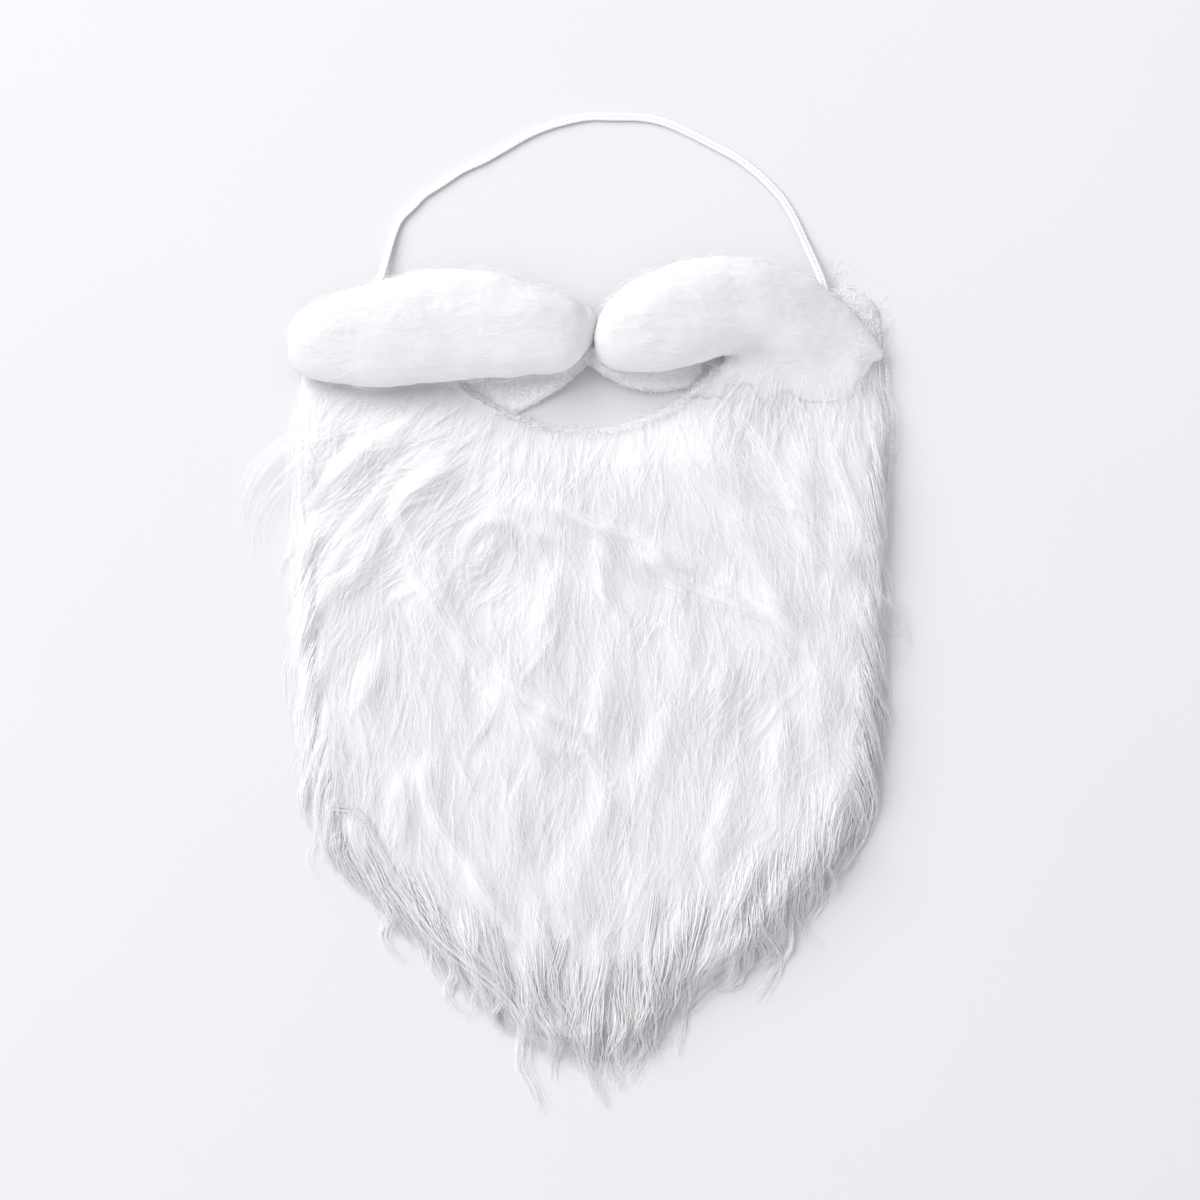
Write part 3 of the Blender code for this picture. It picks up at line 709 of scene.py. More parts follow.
# %% The strand tree
STRAND_SIZES = (
    ("Guides", "NodeSocketGeometry"),
    ("Copies", "NodeSocketInt"),
    ("Spread", "NodeSocketFloat"),
    ("Gather", "NodeSocketFloat"),
    ("Frizz", "NodeSocketFloat"),
    ("Thickness", "NodeSocketFloat"),
    ("Lowest", "NodeSocketFloat"),
    ("Seed", "NodeSocketInt"),
    ("Material", "NodeSocketMaterial"),
)
FRIZZ_SCALE = 90.0


def new_tree(name, sizes):
    """An empty geometry tree with named inputs, its inputs as wires, and its end."""
    tree = bpy.data.node_groups.new(name, "GeometryNodeTree")
    for label, kind in sizes:
        tree.interface.new_socket(name=label, in_out="INPUT", socket_type=kind)
    tree.interface.new_socket(name="Made", in_out="OUTPUT", socket_type="NodeSocketGeometry")
    start = tree.nodes.new("NodeGroupInput")
    given = {socket.name: Wire(tree, socket) for socket in start.outputs if socket.name}
    return tree, given, tree.nodes.new("NodeGroupOutput")


def stored(wires, name):
    settings = {"data_type": "FLOAT"}
    return wires.node("GeometryNodeInputNamedAttribute", settings, {0: name})


def finish_tree(wires, made, material, end):
    """Real geometry in place of instances, and the material."""
    real = wires.node("GeometryNodeRealizeInstances", {}, {0: made})
    done = wires.node("GeometryNodeSetMaterial", {}, {"Geometry": real, "Material": material})
    wires.tree.links.new(done.socket, end.inputs[0])


def build_strand_tree():
    tree, given, end = new_tree("strands", STRAND_SIZES)
    wires = Wire(tree)
    lines = wires.node("GeometryNodeMeshToCurve", {}, {0: given["Guides"]})
    copying = {"Geometry": lines, "Amount": given["Copies"]}
    copies = wires.node("GeometryNodeDuplicateElements", {"domain": "SPLINE"}, copying)
    along, girth = stored(wires, "along"), stored(wires, "girth")

    ends = {0: (-1, -1, -1), 1: (1, 1, 1), 8: given["Seed"]}
    chance = wires.node("FunctionNodeRandomValue", {"data_type": "FLOAT_VECTOR"}, ends)
    per_strand = {"domain": "CURVE", "data_type": "FLOAT_VECTOR"}
    step = wires.node("GeometryNodeFieldOnDomain", per_strand, {0: chance})
    closing = 1.0 - given["Gather"] * along
    aside = step * (given["Spread"] * girth * closing) * wires.together(1.0, 1.0, 0.55)

    position = wires.node("GeometryNodeInputPosition")
    ruffle = wires.noise(position * FRIZZ_SCALE + step * 37.0, 1.0, 1.0, 1)
    frizz = (ruffle - 0.5) * (given["Frizz"] * along)
    moving = {"Geometry": copies, "Offset": aside + frizz}
    moved = wires.node("GeometryNodeSetPosition", {}, moving)
    x, y, z = wires.node("GeometryNodeInputPosition").parts()
    above = wires.together(x, y, z.at_least(given["Lowest"]))
    laid = wires.node("GeometryNodeSetPosition", {}, {"Geometry": moved, "Position": above})

    shade = {"Geometry": laid, "Name": "shade", "Value": step.parts()[0] * 0.5 + 0.5}
    shaded = wires.node("GeometryNodeStoreNamedAttribute", {"data_type": "FLOAT"}, shade)
    taper = given["Thickness"] * 0.5 * (1.0 - 0.75 * along**2.5)
    circle = wires.node("GeometryNodeCurvePrimitiveCircle", {}, {"Resolution": 3, "Radius": 1.0})
    skin = {"Curve": shaded, "Profile Curve": circle, "Scale": taper, "Fill Caps": True}
    tubes = wires.node("GeometryNodeCurveToMesh", {}, skin)
    finish_tree(wires, tubes, given["Material"], end)
    return tree


strand_tree = build_strand_tree()
print("strand tree:", len(strand_tree.nodes), "nodes")

# %% From guides to a piece


def store_numbers(mesh, name, values):
    """Numbers on a mesh's points, for a tree or a material to read."""
    layer = mesh.attributes.new(name, "FLOAT", "POINT")
    layer.data.foreach_set("value", values.astype(np.float32))


def guide_mesh(paths, tone, girth):
    """Guides as a mesh of plain lines, with the numbers that the tree reads on its points."""
    strands, count = paths.shape[0], paths.shape[1]
    index = np.arange(strands * count).reshape(strands, count)
    edges = np.stack([index[:, :-1].ravel(), index[:, 1:].ravel()], axis=1)
    mesh = bpy.data.meshes.new("guides")
    mesh.from_pydata(paths.reshape(-1, 3).tolist(), edges.tolist(), [])
    store_numbers(mesh, "along", np.tile(np.linspace(0.0, 1.0, count), strands))
    store_numbers(mesh, "tone", np.repeat(tone, count))
    store_numbers(mesh, "girth", np.repeat(girth, count))
    return mesh


def holder_of(mesh):
    """An object that holds a mesh only while modifiers change it."""
    holder = bpy.data.objects.new("holder", mesh)
    bpy.context.scene.collection.objects.link(holder)
    return holder


def changed_mesh(*holders):
    """The mesh that the first holder's modifiers make. The holders are removed."""
    bpy.context.view_layer.update()
    evaluated = holders[0].evaluated_get(bpy.context.evaluated_depsgraph_get())
    made = bpy.data.meshes.new_from_object(evaluated)
    for holder in holders:
        bpy.data.objects.remove(holder, do_unlink=True)
    return made


def run_tree(mesh, tree, values):
    """The mesh that a geometry tree makes from another, with no modifier left."""
    holder = holder_of(mesh)
    modifier = holder.modifiers.new("tree", "NODES")
    modifier.node_group = tree
    for item in tree.interface.items_tree:
        if item.in_out == "INPUT" and item.name in values:
            modifier[item.identifier] = values[item.name]
    made = changed_mesh(holder)
    bpy.data.meshes.remove(mesh)
    return made


Growth = namedtuple("Growth", "copies spread gather frizz thickness seed")


def grow(name, guides, growth, node="beard_fur"):
    """A piece of strands from guides: a tuple of paths, tones and girths."""
    values = {size.capitalize(): value for size, value in growth._asdict().items()}
    values.update(Lowest=growth.thickness, Material=hair_material)
    made = run_tree(guide_mesh(*guides), strand_tree, values)
    made.name = name
    add_piece(name, made, hair_material, node, smooth=False)


# %% [markdown]
# ## The look of the hair
#
# The hair is painted greyer and cooler at the roots, as painted shade where little light
# gets in, and brightest along the outer half. Each lock and each strand differs a little.

# %% Hair material
def let_through(material, shader, colour, share):
    """Lets a share of the light through a thin strand, as well as off it."""
    tree = material.node_tree
    wires = Wire(tree)
    through = wires.node("ShaderNodeBsdfTranslucent", {}, {"Color": colour})
    mixed = wires.node("ShaderNodeMixShader", {}, {0: share, 2: through})
    tree.links.new(shader.outputs[0], mixed.socket.node.inputs[1])
    tree.links.new(mixed.socket, tree.nodes["Material Output"].inputs["Surface"])


ROOT_SHADE_GREY = (0.955, 0.955, 0.965, 1.0)
TIP_WHITE = (0.985, 0.985, 0.99, 1.0)
DRIFT_SCALE = 22.0
LIGHT_THROUGH = 0.40

hair_material, wires, shader = new_material("white_hair")
along = wires.attribute("along")
shade = wires.attribute("shade")
tone = wires.attribute("tone")
drift = wires.noise(wires.places(), DRIFT_SCALE)
# Painted shade: darker towards the roots. The other terms vary the tone at random.
tone_and_root_shade = 0.25 + along * 0.45 + shade * 0.22 + tone * 0.30 + drift * 0.15
hair_colour = wires.blend(tone_and_root_shade, ROOT_SHADE_GREY, TIP_WHITE)
feed(shader, "Base Color", hair_colour)
feed(shader, "Roughness", 0.62 - shade * 0.15)
shader.inputs["Specular IOR Level"].default_value = 0.35
let_through(hair_material, shader, hair_colour, LIGHT_THROUGH)
print("hair material:", len(hair_material.node_tree.nodes), "nodes")

# %% [markdown]
# ## The outline of the cloth
#
# Fur cloth is cut flat, so its outline is two edges and a curve for the mouth. The body of
# the pile and the backing under it both follow it. A few rows of a table hold the edges, and
# a smooth curve runs through them.

# %% Outline of the cloth
BACKING_THICKNESS = 0.0011
BACKING_LIFT = 0.0003
MOUTH_X = 0.00253
MOUTH_Y = 0.1262
MOUTH_HALF = 0.0487
MOUTH_DROP = 0.0190
CLOTH_TOP = 0.166

Row = namedtuple("Row", "y left right")
BACKING_ROWS_MM = (
    Row(166.0, -78.0, 111.0),
    Row(159.0, -100.0, 123.5),
    Row(143.0, -112.0, 126.5),
    Row(125.0, -115.5, 127.6),
    Row(107.0, -116.6, 129.6),
    Row(86.0, -116.8, 128.0),
    Row(36.0, -117.0, 125.8),
    Row(0.0, -116.2, 124.0),
    Row(-36.0, -110.6, 121.4),
    Row(-64.0, -101.6, 112.0),
    Row(-89.5, -80.2, 91.5),
    Row(-114.5, -55.4, 67.0),
    Row(-132.5, -33.4, 41.0),
    Row(-149.0, -12.0, 21.0),
)


def mouth_edge(count):
    """The cut edge of the mouth from right to left."""
    share = np.linspace(1.0, -1.0, count)
    x = MOUTH_X + MOUTH_HALF * share
    y = MOUTH_Y - MOUTH_DROP * (1 - share * share)
    return np.stack([x, y], axis=1)


def backing_outline():
    """Round the cloth: down the left side, up the right, and back along the mouth."""
    rows = np.array([tuple(row) for row in BACKING_ROWS_MM]) * MM
    left = smooth_path(np.stack([rows[:, 1], rows[:, 0]], axis=1), 90)
    right = smooth_path(np.stack([rows[::-1, 2], rows[::-1, 0]], axis=1), 90)
    top_right = np.array([[MOUTH_X + MOUTH_HALF, CLOTH_TOP]])
    top_left = np.array([[MOUTH_X - MOUTH_HALF, CLOTH_TOP]])
    return np.vstack([left, right, top_right, mouth_edge(40), top_left])


def flat_sheet(name, outline, low, thickness):
    """A closed sheet of even thickness from an outline in plan."""
    shell = bmesh.new()
    verts = [shell.verts.new((x, y, low)) for x, y in outline]
    face = shell.faces.new(verts)
    face.normal_update()
    if face.normal.z > 0:
        face.normal_flip()
    made = bmesh.ops.extrude_face_region(shell, geom=[face])["geom"]
    for item in made:
        if isinstance(item, bmesh.types.BMVert):
            item.co.z += thickness
    bmesh.ops.triangulate(shell, faces=list(shell.faces))
    bmesh.ops.recalc_face_normals(shell, faces=list(shell.faces))
    return mesh_from(shell, name)


# %% [markdown]
# ## The body of the pile
#
# Between the strands one sees more hair, not cloth. A soft body fills that space: the solid's
# own shape, remeshed and smoothed until its facets are gone, and drawn in a little so that
# the strands lie on it. Fine grooves along the hair finish it. Its grey is painted shade, and
# painted light whitens the crests of the ridges and the edge of the mouth, which the rolls shade.
#
# The grooves need to follow the lay, which turns from place to place. So each point is traced
# back up the lay to the top. Points of one hair come from the same place, and the noise that
# reads that place makes one long groove of them.

# %% Body of the pile
BODY_VOXEL = 0.0028
BODY_INSET = 0.0011
BODY_SWELL = 0.0008
BODY_LOWEST = 0.0012
SMOOTHING_ROUNDS = 6
TRACED_STEPS = 130
MOUTH_PAINTED_LIGHT = 1.6
MOUTH_EDGE_WIDTH = 0.0022
GROOVE_BUMP = 0.0006
# Painted shade: the underfur is greyer than the hair it stands for, like hair in the shade of
# other strands.
UNDERFUR_SHADE_GREY = (0.645, 0.645, 0.66, 1)
UNDERFUR_SHADE_PALE = (0.69, 0.69, 0.70, 1)
PAINTED_LIGHT_WHITE = (0.775, 0.775, 0.785, 1)


def merged_shell(node):
    """A copy of a solid whose loose triangles are joined."""
    shell = bmesh.new()
    shell.from_mesh(bpy.data.objects[node].data)
    bmesh.ops.remove_doubles(shell, verts=list(shell.verts), dist=0.00001)
    return shell


def remeshed(mesh, voxel, smoothing):
    """The same form in small even faces, smoothed."""
    holder = holder_of(mesh)
    remesh = holder.modifiers.new("remesh", "REMESH")
    remesh.mode = "VOXEL"
    remesh.voxel_size = voxel
    soft = holder.modifiers.new("soft", "SMOOTH")
    soft.iterations = smoothing
    soft.factor = 0.6
    made = changed_mesh(holder)
    bpy.data.meshes.remove(mesh)
    return made


def points_of(mesh, kind="co"):
    """Every point of a mesh, or with "normal" the way that it faces."""
    points = np.zeros(len(mesh.vertices) * 3)
    mesh.vertices.foreach_get(kind, points)
    return points.reshape(-1, 3)


def set_points(mesh, points):
    mesh.vertices.foreach_set("co", points.ravel())
    mesh.update()


def store_streaks(mesh):
    """Where each point's hair starts, and how far along it the point lies."""
    place = points_of(mesh)[:, :2].copy()
    travelled = np.zeros(len(place))
    step = 0.003
    for _ in range(TRACED_STEPS):
        move = -step * lay_of_hair(place)
        part = np.clip((TOP_Y - place[:, 1]) / np.maximum(move[:, 1], 1e-6), 0.0, 1.0)
        place += move * part[:, None]
        travelled += step * part
    store_numbers(mesh, "hair_start", place[:, 0])
    store_numbers(mesh, "hair_run", travelled)
    return place[:, 0], travelled


def kept_inside(mesh, keeper):
    """The part of a mesh that lies inside another."""
    holder, cutter = holder_of(mesh), holder_of(keeper)
    cut = holder.modifiers.new("cut", "BOOLEAN")
    cut.operation = "INTERSECT"
    cut.solver = "EXACT"
    cut.object = cutter
    return changed_mesh(holder, cutter)


keeper = flat_sheet("keeper", backing_outline(), -0.010, 0.050)
whole_body = kept_inside(mesh_from(merged_shell("beard_fur"), "pile_body"), keeper)
body_mesh = remeshed(whole_body, BODY_VOXEL, SMOOTHING_ROUNDS)
body_points = points_of(body_mesh) - points_of(body_mesh, "normal") * BODY_INSET
body_plan = body_points[:, :2].copy()
body_points[:, 2] = np.maximum(body_points[:, 2] * chin_taper(body_plan), BODY_LOWEST)
on_top = np.clip((body_points[:, 2] - 0.0015) / 0.0010, 0.0, 1.0)
crests = ridge_share(body_plan)
body_points[:, 2] += (RIDGE_RISE * crests + CHEEK_SWELL * cheek_share(body_plan)) * on_top
set_points(body_mesh, body_points)
starts, runs = store_streaks(body_mesh)
for i, (start, run) in enumerate(zip(starts, runs)):
    upward = min(1.0, max(0.0, (body_points[i, 2] - 0.003) / 0.005))
    swell = noise.noise(Vector((start * 150.0, run * 30.0, 0.0)))
    body_points[i, 2] += swell * BODY_SWELL * upward
set_points(body_mesh, body_points)
# Painted light: a painted highlight on the ridge crests, and paler colour along the mouth edge,
# which the rolls shade.
from_mouth = distance_to(mouth_edge(60), body_plan)
mouth_painted_light = MOUTH_PAINTED_LIGHT * np.exp(-((from_mouth / MOUTH_EDGE_WIDTH) ** 2))
store_numbers(body_mesh, "crest", np.maximum(crests, mouth_painted_light))

body_material, wires, shader = new_material("white_underfur")
start = wires.attribute("hair_start")
run = wires.attribute("hair_run")
fine = wires.noise(wires.together(start * 900.0, run * 34.0, 0.0), 1.0, 3.0)
broad = wires.noise(wires.together(start * 170.0, run * 16.0, 0.0), 1.0, 2.0)
grooves = fine * 0.55 + broad * 0.45
underfur = wires.blend(grooves, UNDERFUR_SHADE_GREY, UNDERFUR_SHADE_PALE)
feed(shader, "Base Color", wires.blend(wires.attribute("crest"), underfur, PAINTED_LIGHT_WHITE))
feed(shader, "Roughness", 0.9 - grooves * 0.15)
feed(shader, "Normal", wires.bump(grooves, GROOVE_BUMP))
add_piece("pile_body", body_mesh, body_material, "beard_fur")

# %% [markdown]
# ## Hair over the whole pile
#
# Hair stands in locks. Starting places are scattered evenly, and each belongs to the nearest
# of a smaller number of lock centres. A strand keeps its distance from the middle of its
# lock at the root, and loses most of it by the tip. The middle of a lock lies a little higher
# than its sides, so light finds its shape.

# %% Scattered starting places
LOCK_GAP = 0.0105
PILE_LOW, PILE_HIGH = (-0.130, -0.165), (0.134, 0.160)
COVER = 0.0025
CHEEK_BARE = 0.55


def scattered(gap_x, gap_y, seed):
    """Jittered even places over the whole box of the pile."""
    chance = np.random.default_rng(seed)
    xs = np.arange(PILE_LOW[0], PILE_HIGH[0], gap_x)
    ys = np.arange(PILE_LOW[1], PILE_HIGH[1], gap_y)
    grid = np.stack(np.meshgrid(xs, ys), axis=-1).reshape(-1, 2)
    return grid + chance.uniform(-0.5, 0.5, grid.shape) * (gap_x, gap_y)


def on_pile(places, lowest=0.0022):
    """The places with pile under them, and no roll, swell or lip band over them."""
    low = fur_heights.at(places)
    bare = (all_heights.at(places) - low < COVER) & (cheek_share(places) < CHEEK_BARE)
    return places[(low > lowest) & bare]


def nearest(places, centres):
    """The index of the nearest centre to each place."""
    away = np.linalg.norm(places[:, None] - centres[None], axis=2)
    return away.argmin(axis=1)


# %% Guides in locks
ROOT_DEPTH = 0.0016
Coat = namedtuple("Coat", "gap length points gather crown lift stray seed")


def arch(share, start=0.1, power=0.8):
    """How a strand rises along its length: up from its root, over, and down to its tip."""
    return np.sin(np.pi * np.minimum(1.0, share + start)) ** power


def lay_on(heights, plan, rise, slope=0.7):
    """Adds heights to paths in plan: over the form, and down no steeper than hair falls."""
    z = heights.at(plan) + rise
    steps = np.linalg.norm(np.diff(plan, axis=1), axis=2)
    for i in range(1, plan.shape[1]):
        z[:, i] = np.maximum(z[:, i], z[:, i - 1] - slope * steps[:, i - 1])
    return np.concatenate([plan, np.maximum(z, 0.0002)[..., None]], axis=2)


def coat_guides(coat):
    """Guides from scattered roots that close to the middle of their locks."""
    chance = np.random.default_rng(coat.seed)
    roots = on_pile(scattered(coat.gap, coat.gap * 0.96, coat.seed))
    centres = on_pile(scattered(LOCK_GAP * 0.8, LOCK_GAP * 1.25, coat.seed + 1), 0.001)
    home = nearest(roots, centres)
    lengths = coat.length * chance.uniform(0.7, 1.25, len(centres))
    middle = comb(centres, lengths, coat.points, chance)
    away = roots - centres[home]
    share = np.linspace(0.0, 1.0, coat.points)
    wobble = chance.normal(0.0, 1.0, (len(centres), 2))[home]
    closing = 1 - coat.gather * share**1.2
    plan = middle[home] + away[:, None] * closing[None, :, None]
    turn = chance.normal(0.0, coat.stray, (len(roots), 1)) + wobble[:, :1] * coat.stray * 0.7
    run = np.linalg.norm(plan - plan[:, :1], axis=2)
    ahead = plan[:, -1] - plan[:, 0]
    side = np.stack([-ahead[:, 1], ahead[:, 0]], axis=1)
    side /= np.linalg.norm(side, axis=1, keepdims=True) + 1e-9
    bend = turn * run + 0.0011 * np.sin(share * 6.0 + wobble[:, 1:] * 3.0) * share
    plan += side[:, None] * bend[..., None]
    plan = within_reach(plan, chance.normal(-0.0006, 0.0024, (len(roots), 1)))
    high = 1 - np.minimum(1.0, (np.linalg.norm(away, axis=1) / (0.6 * LOCK_GAP)) ** 2)
    top = coat.lift + coat.crown * high
    rise = (ROOT_DEPTH + top)[:, None] * arch(share)[None, :] - ROOT_DEPTH
    rise = rise + chance.normal(0.0, 0.0003, (len(roots), 1))
    tone = np.clip(0.5 + 0.28 * wobble[:, 1], 0, 1)
    girth = chance.uniform(0.75, 1.25, len(roots))
    return lay_on(fur_heights, plan, rise), tone, girth


def grow_in_bands(names, guides, growth):
    """The same coat as several pieces, from the top of the beard to its tip."""
    order = np.argsort(-guides[0][:, 0, 1])
    for name, band in zip(names, np.array_split(order, len(names))):
        part = tuple(values[band] for values in guides)
        grow(name, part, growth)


UNDERCOAT = Coat(
    gap=0.0058, length=0.020, points=3, gather=0.30, crown=0.0003, lift=0.0002, stray=0.30, seed=11
)
TOPCOAT = Coat(
    gap=0.0066, length=0.027, points=5, gather=0.45, crown=0.0004, lift=0.0004, stray=0.24, seed=17
)
UNDER_GROWTH = Growth(7, spread=0.0036, gather=0.25, frizz=0.0040, thickness=0.00008, seed=5)
TOP_GROWTH = Growth(7, spread=0.0028, gather=0.45, frizz=0.0040, thickness=0.00009, seed=6)
grow_in_bands(("undercoat_high", "undercoat_low"), coat_guides(UNDERCOAT), UNDER_GROWTH)
grow_in_bands(("topcoat_high", "topcoat_low"), coat_guides(TOPCOAT), TOP_GROWTH)

# %% [markdown]
# ## Locks that stand out
#
# A few locks catch the eye: the ridges, a curl that turns back on itself, the wavy tails at
# the chin, and wisps at the sides. Each is drawn as a few points, and becomes a bundle of
# guides side by side. The ridges already stand in the form, so a few strands are enough for
# them. The tails lie flat on the table, past the edge of the cloth.

# %% Locks drawn as points
TAILS_MM = (
    Drawn(2.8, 4, 0.6, (
        (-102, -50), (-91, -52), (-83, -66), (-76, -80), (-66, -94), (-61, -110), (-56, -126),
    )),
    Drawn(5.0, 9, 0.6, (
        (-74, -80), (-57, -102), (-46, -111), (-35, -121), (-26, -131), (-20, -142),
        (-23, -153), (-18, -167), (-16, -176),
    )),
    Drawn(4.4, 8, 0.6, ((11, -112), (6, -136), (4, -148), (8, -161), (11, -174))),
    Drawn(4.4, 8, 0.6, ((21, -112), (22, -136), (27, -145), (35, -150))),
    Drawn(4.0, 7, 0.8, ((72, -76), (75, -97), (84, -113), (83, -120), (74, -129))),
    Drawn(1.0, 3, 0.6, ((90, -80), (89, -99), (87, -112), (78, -127))),
    Drawn(1.4, 4, 0.9, ((68, -88), (70, -110), (67, -122), (60, -127), (53, -121), (50, -114))),
    Drawn(5.0, 8, 0.8, ((118, -28), (122, -47), (115, -66), (103, -85))),
    Drawn(4.6, 8, 0.7, ((34, -88), (31, -114), (35, -135), (28, -155), (21, -164))),
    Drawn(4.4, 8, 0.7, ((-8, -104), (-12, -124), (-4, -140), (4, -152), (6, -160))),
    Drawn(3.6, 6, 0.7, ((52, -92), (46, -114), (38, -128), (36, -140))),
    Drawn(4.0, 7, 0.7, ((-36, -100), (-30, -124), (-34, -136), (-28, -146))),
    Drawn(4.0, 6, 0.8, ((-22, -118), (-15, -138), (-9, -150), (-12, -163))),
    Drawn(3.6, 6, 0.8, ((14, -118), (18, -138), (13, -152), (18, -168))),
    Drawn(3.2, 5, 0.8, ((44, -106), (42, -128), (46, -142), (41, -153))),
    Drawn(3.2, 5, 0.8, ((-88, -66), (-78, -88), (-80, -103), (-74, -115))),
    Drawn(3.2, 5, 0.8, ((-62, -92), (-52, -114), (-54, -128), (-46, -139))),
    Drawn(2.6, 4, 0.8, ((96, -66), (101, -86), (96, -99), (101, -108))),
)
WISPS_MM = (
    Drawn(5.0, 6, 0.8, ((-112, 106), (-130, 92), (-137, 76), (-138, 59))),
    Drawn(5.0, 6, 0.8, ((-112, 94), (-127, 80), (-133, 66), (-133, 56))),
    Drawn(1.6, 4, 0.6, ((122, 42), (134, 30), (138, 20), (134, 9))),
    Drawn(1.2, 3, 0.6, ((122, 34), (131, 22), (137, 24), (138, 16))),
    Drawn(2.0, 3, 0.5, ((-108, -62), (-112, -72), (-106, -84))),
)


CURL_WAVES = 13.0


def laid_bundles(paths, tone, girth, slope=0.7):
    """Guides from plans with their rises, laid on the fur."""
    plans, rises = (np.stack(part) for part in zip(*paths))
    return lay_on(fur_heights, plans, rises, slope), np.array(tone), np.array(girth)


def drawn_guides(table, count, gather, seed, curl=0.0):
    """Bundles of guides along the drawn locks."""
    chance = np.random.default_rng(seed)
    paths, tone, girth = [], [], []
    share = np.linspace(0.0, 1.0, count)
    for lock in table:
        middle = smooth_path(np.array(lock.points) * MM, count)
        ahead = np.gradient(middle, axis=0)
        ahead /= np.linalg.norm(ahead, axis=1, keepdims=True)
        side = np.stack([-ahead[:, 1], ahead[:, 0]], axis=1)
        lock_tone = chance.uniform(0.55, 1.0)
        for _ in range(lock.guides):
            off = chance.uniform(-0.5, 0.5)
            width = lock.width * MM * (1 - gather * share**1.5)
            wave = curl * MM * np.sin(share * CURL_WAVES + chance.uniform(0, 1.2)) * share
            plan = middle + side * (off * width + wave)[:, None]
            high = lock.lift * MM * (1 - (2 * off) ** 2 * 0.6)
            rise = -0.0012 + (ROOT_DEPTH + high) * arch(share, 0.12, 0.7)
            paths.append((plan, rise))
            tone.append(np.clip(lock_tone + chance.uniform(-0.15, 0.15), 0, 1))
            girth.append(lock.width / 4.5 * chance.uniform(0.85, 1.15))
    return laid_bundles(paths, tone, girth)


RIDGE_GROWTH = Growth(2, spread=0.0024, gather=0.30, frizz=0.0036, thickness=0.00010, seed=8)
TAIL_GROWTH = Growth(6, spread=0.0028, gather=0.35, frizz=0.0056, thickness=0.00024, seed=9)
WISP_GROWTH = Growth(5, spread=0.0040, gather=0.10, frizz=0.0040, thickness=0.00006, seed=10)
grow("hair_ridges", drawn_guides(RIDGES_MM, 8, 0.25, seed=31, curl=0.6), RIDGE_GROWTH)
grow("hair_tails", drawn_guides(TAILS_MM, 13, 0.40, seed=32, curl=1.5), TAIL_GROWTH)
grow("hair_wisps", drawn_guides(WISPS_MM, 10, 0.30, seed=33), WISP_GROWTH)

# %% [markdown]
# ## The fringe round the chin
#
# Past the edge of the cloth the hair ends in wavy points. Their roots lie inside the edge and
# their tips on or past it, so the edge itself is drawn once, and bundles are set along it.

# %% Fringe along the lower edge
Edge = namedtuple("Edge", "x y turn length")
LOWER_EDGE_MM = (
    Edge(-119, 42, -16, 24),
    Edge(-118, 20, -8, 30),
    Edge(-117, -18, 0, 36),
    Edge(-113, -45, 14, 38),
    Edge(-103, -67, 34, 40),
    Edge(-81, -91, 40, 42),
    Edge(-64, -108, 38, 44),
    Edge(-48, -124, 30, 46),
    Edge(-31, -140, 20, 46),
    Edge(-12, -146, 8, 46),
    Edge(6, -156, 0, 46),
    Edge(22, -158, -4, 46),
    Edge(34, -142, -8, 46),
    Edge(50, -124, -8, 44),
    Edge(68, -118, -4, 42),
    Edge(87, -100, -12, 40),
    Edge(101, -84, -18, 38),
    Edge(115, -68, -14, 36),
    Edge(123, -38, -6, 34),
    Edge(126, -6, 0, 32),
    Edge(126, 40, 4, 32),
    Edge(128, 80, 4, 30),
)
FRINGE_BUNDLES = 120
FRINGE_POINTS = 12
EDGE_STEPS = 400
BUNDLE_WIDTH = 0.0060


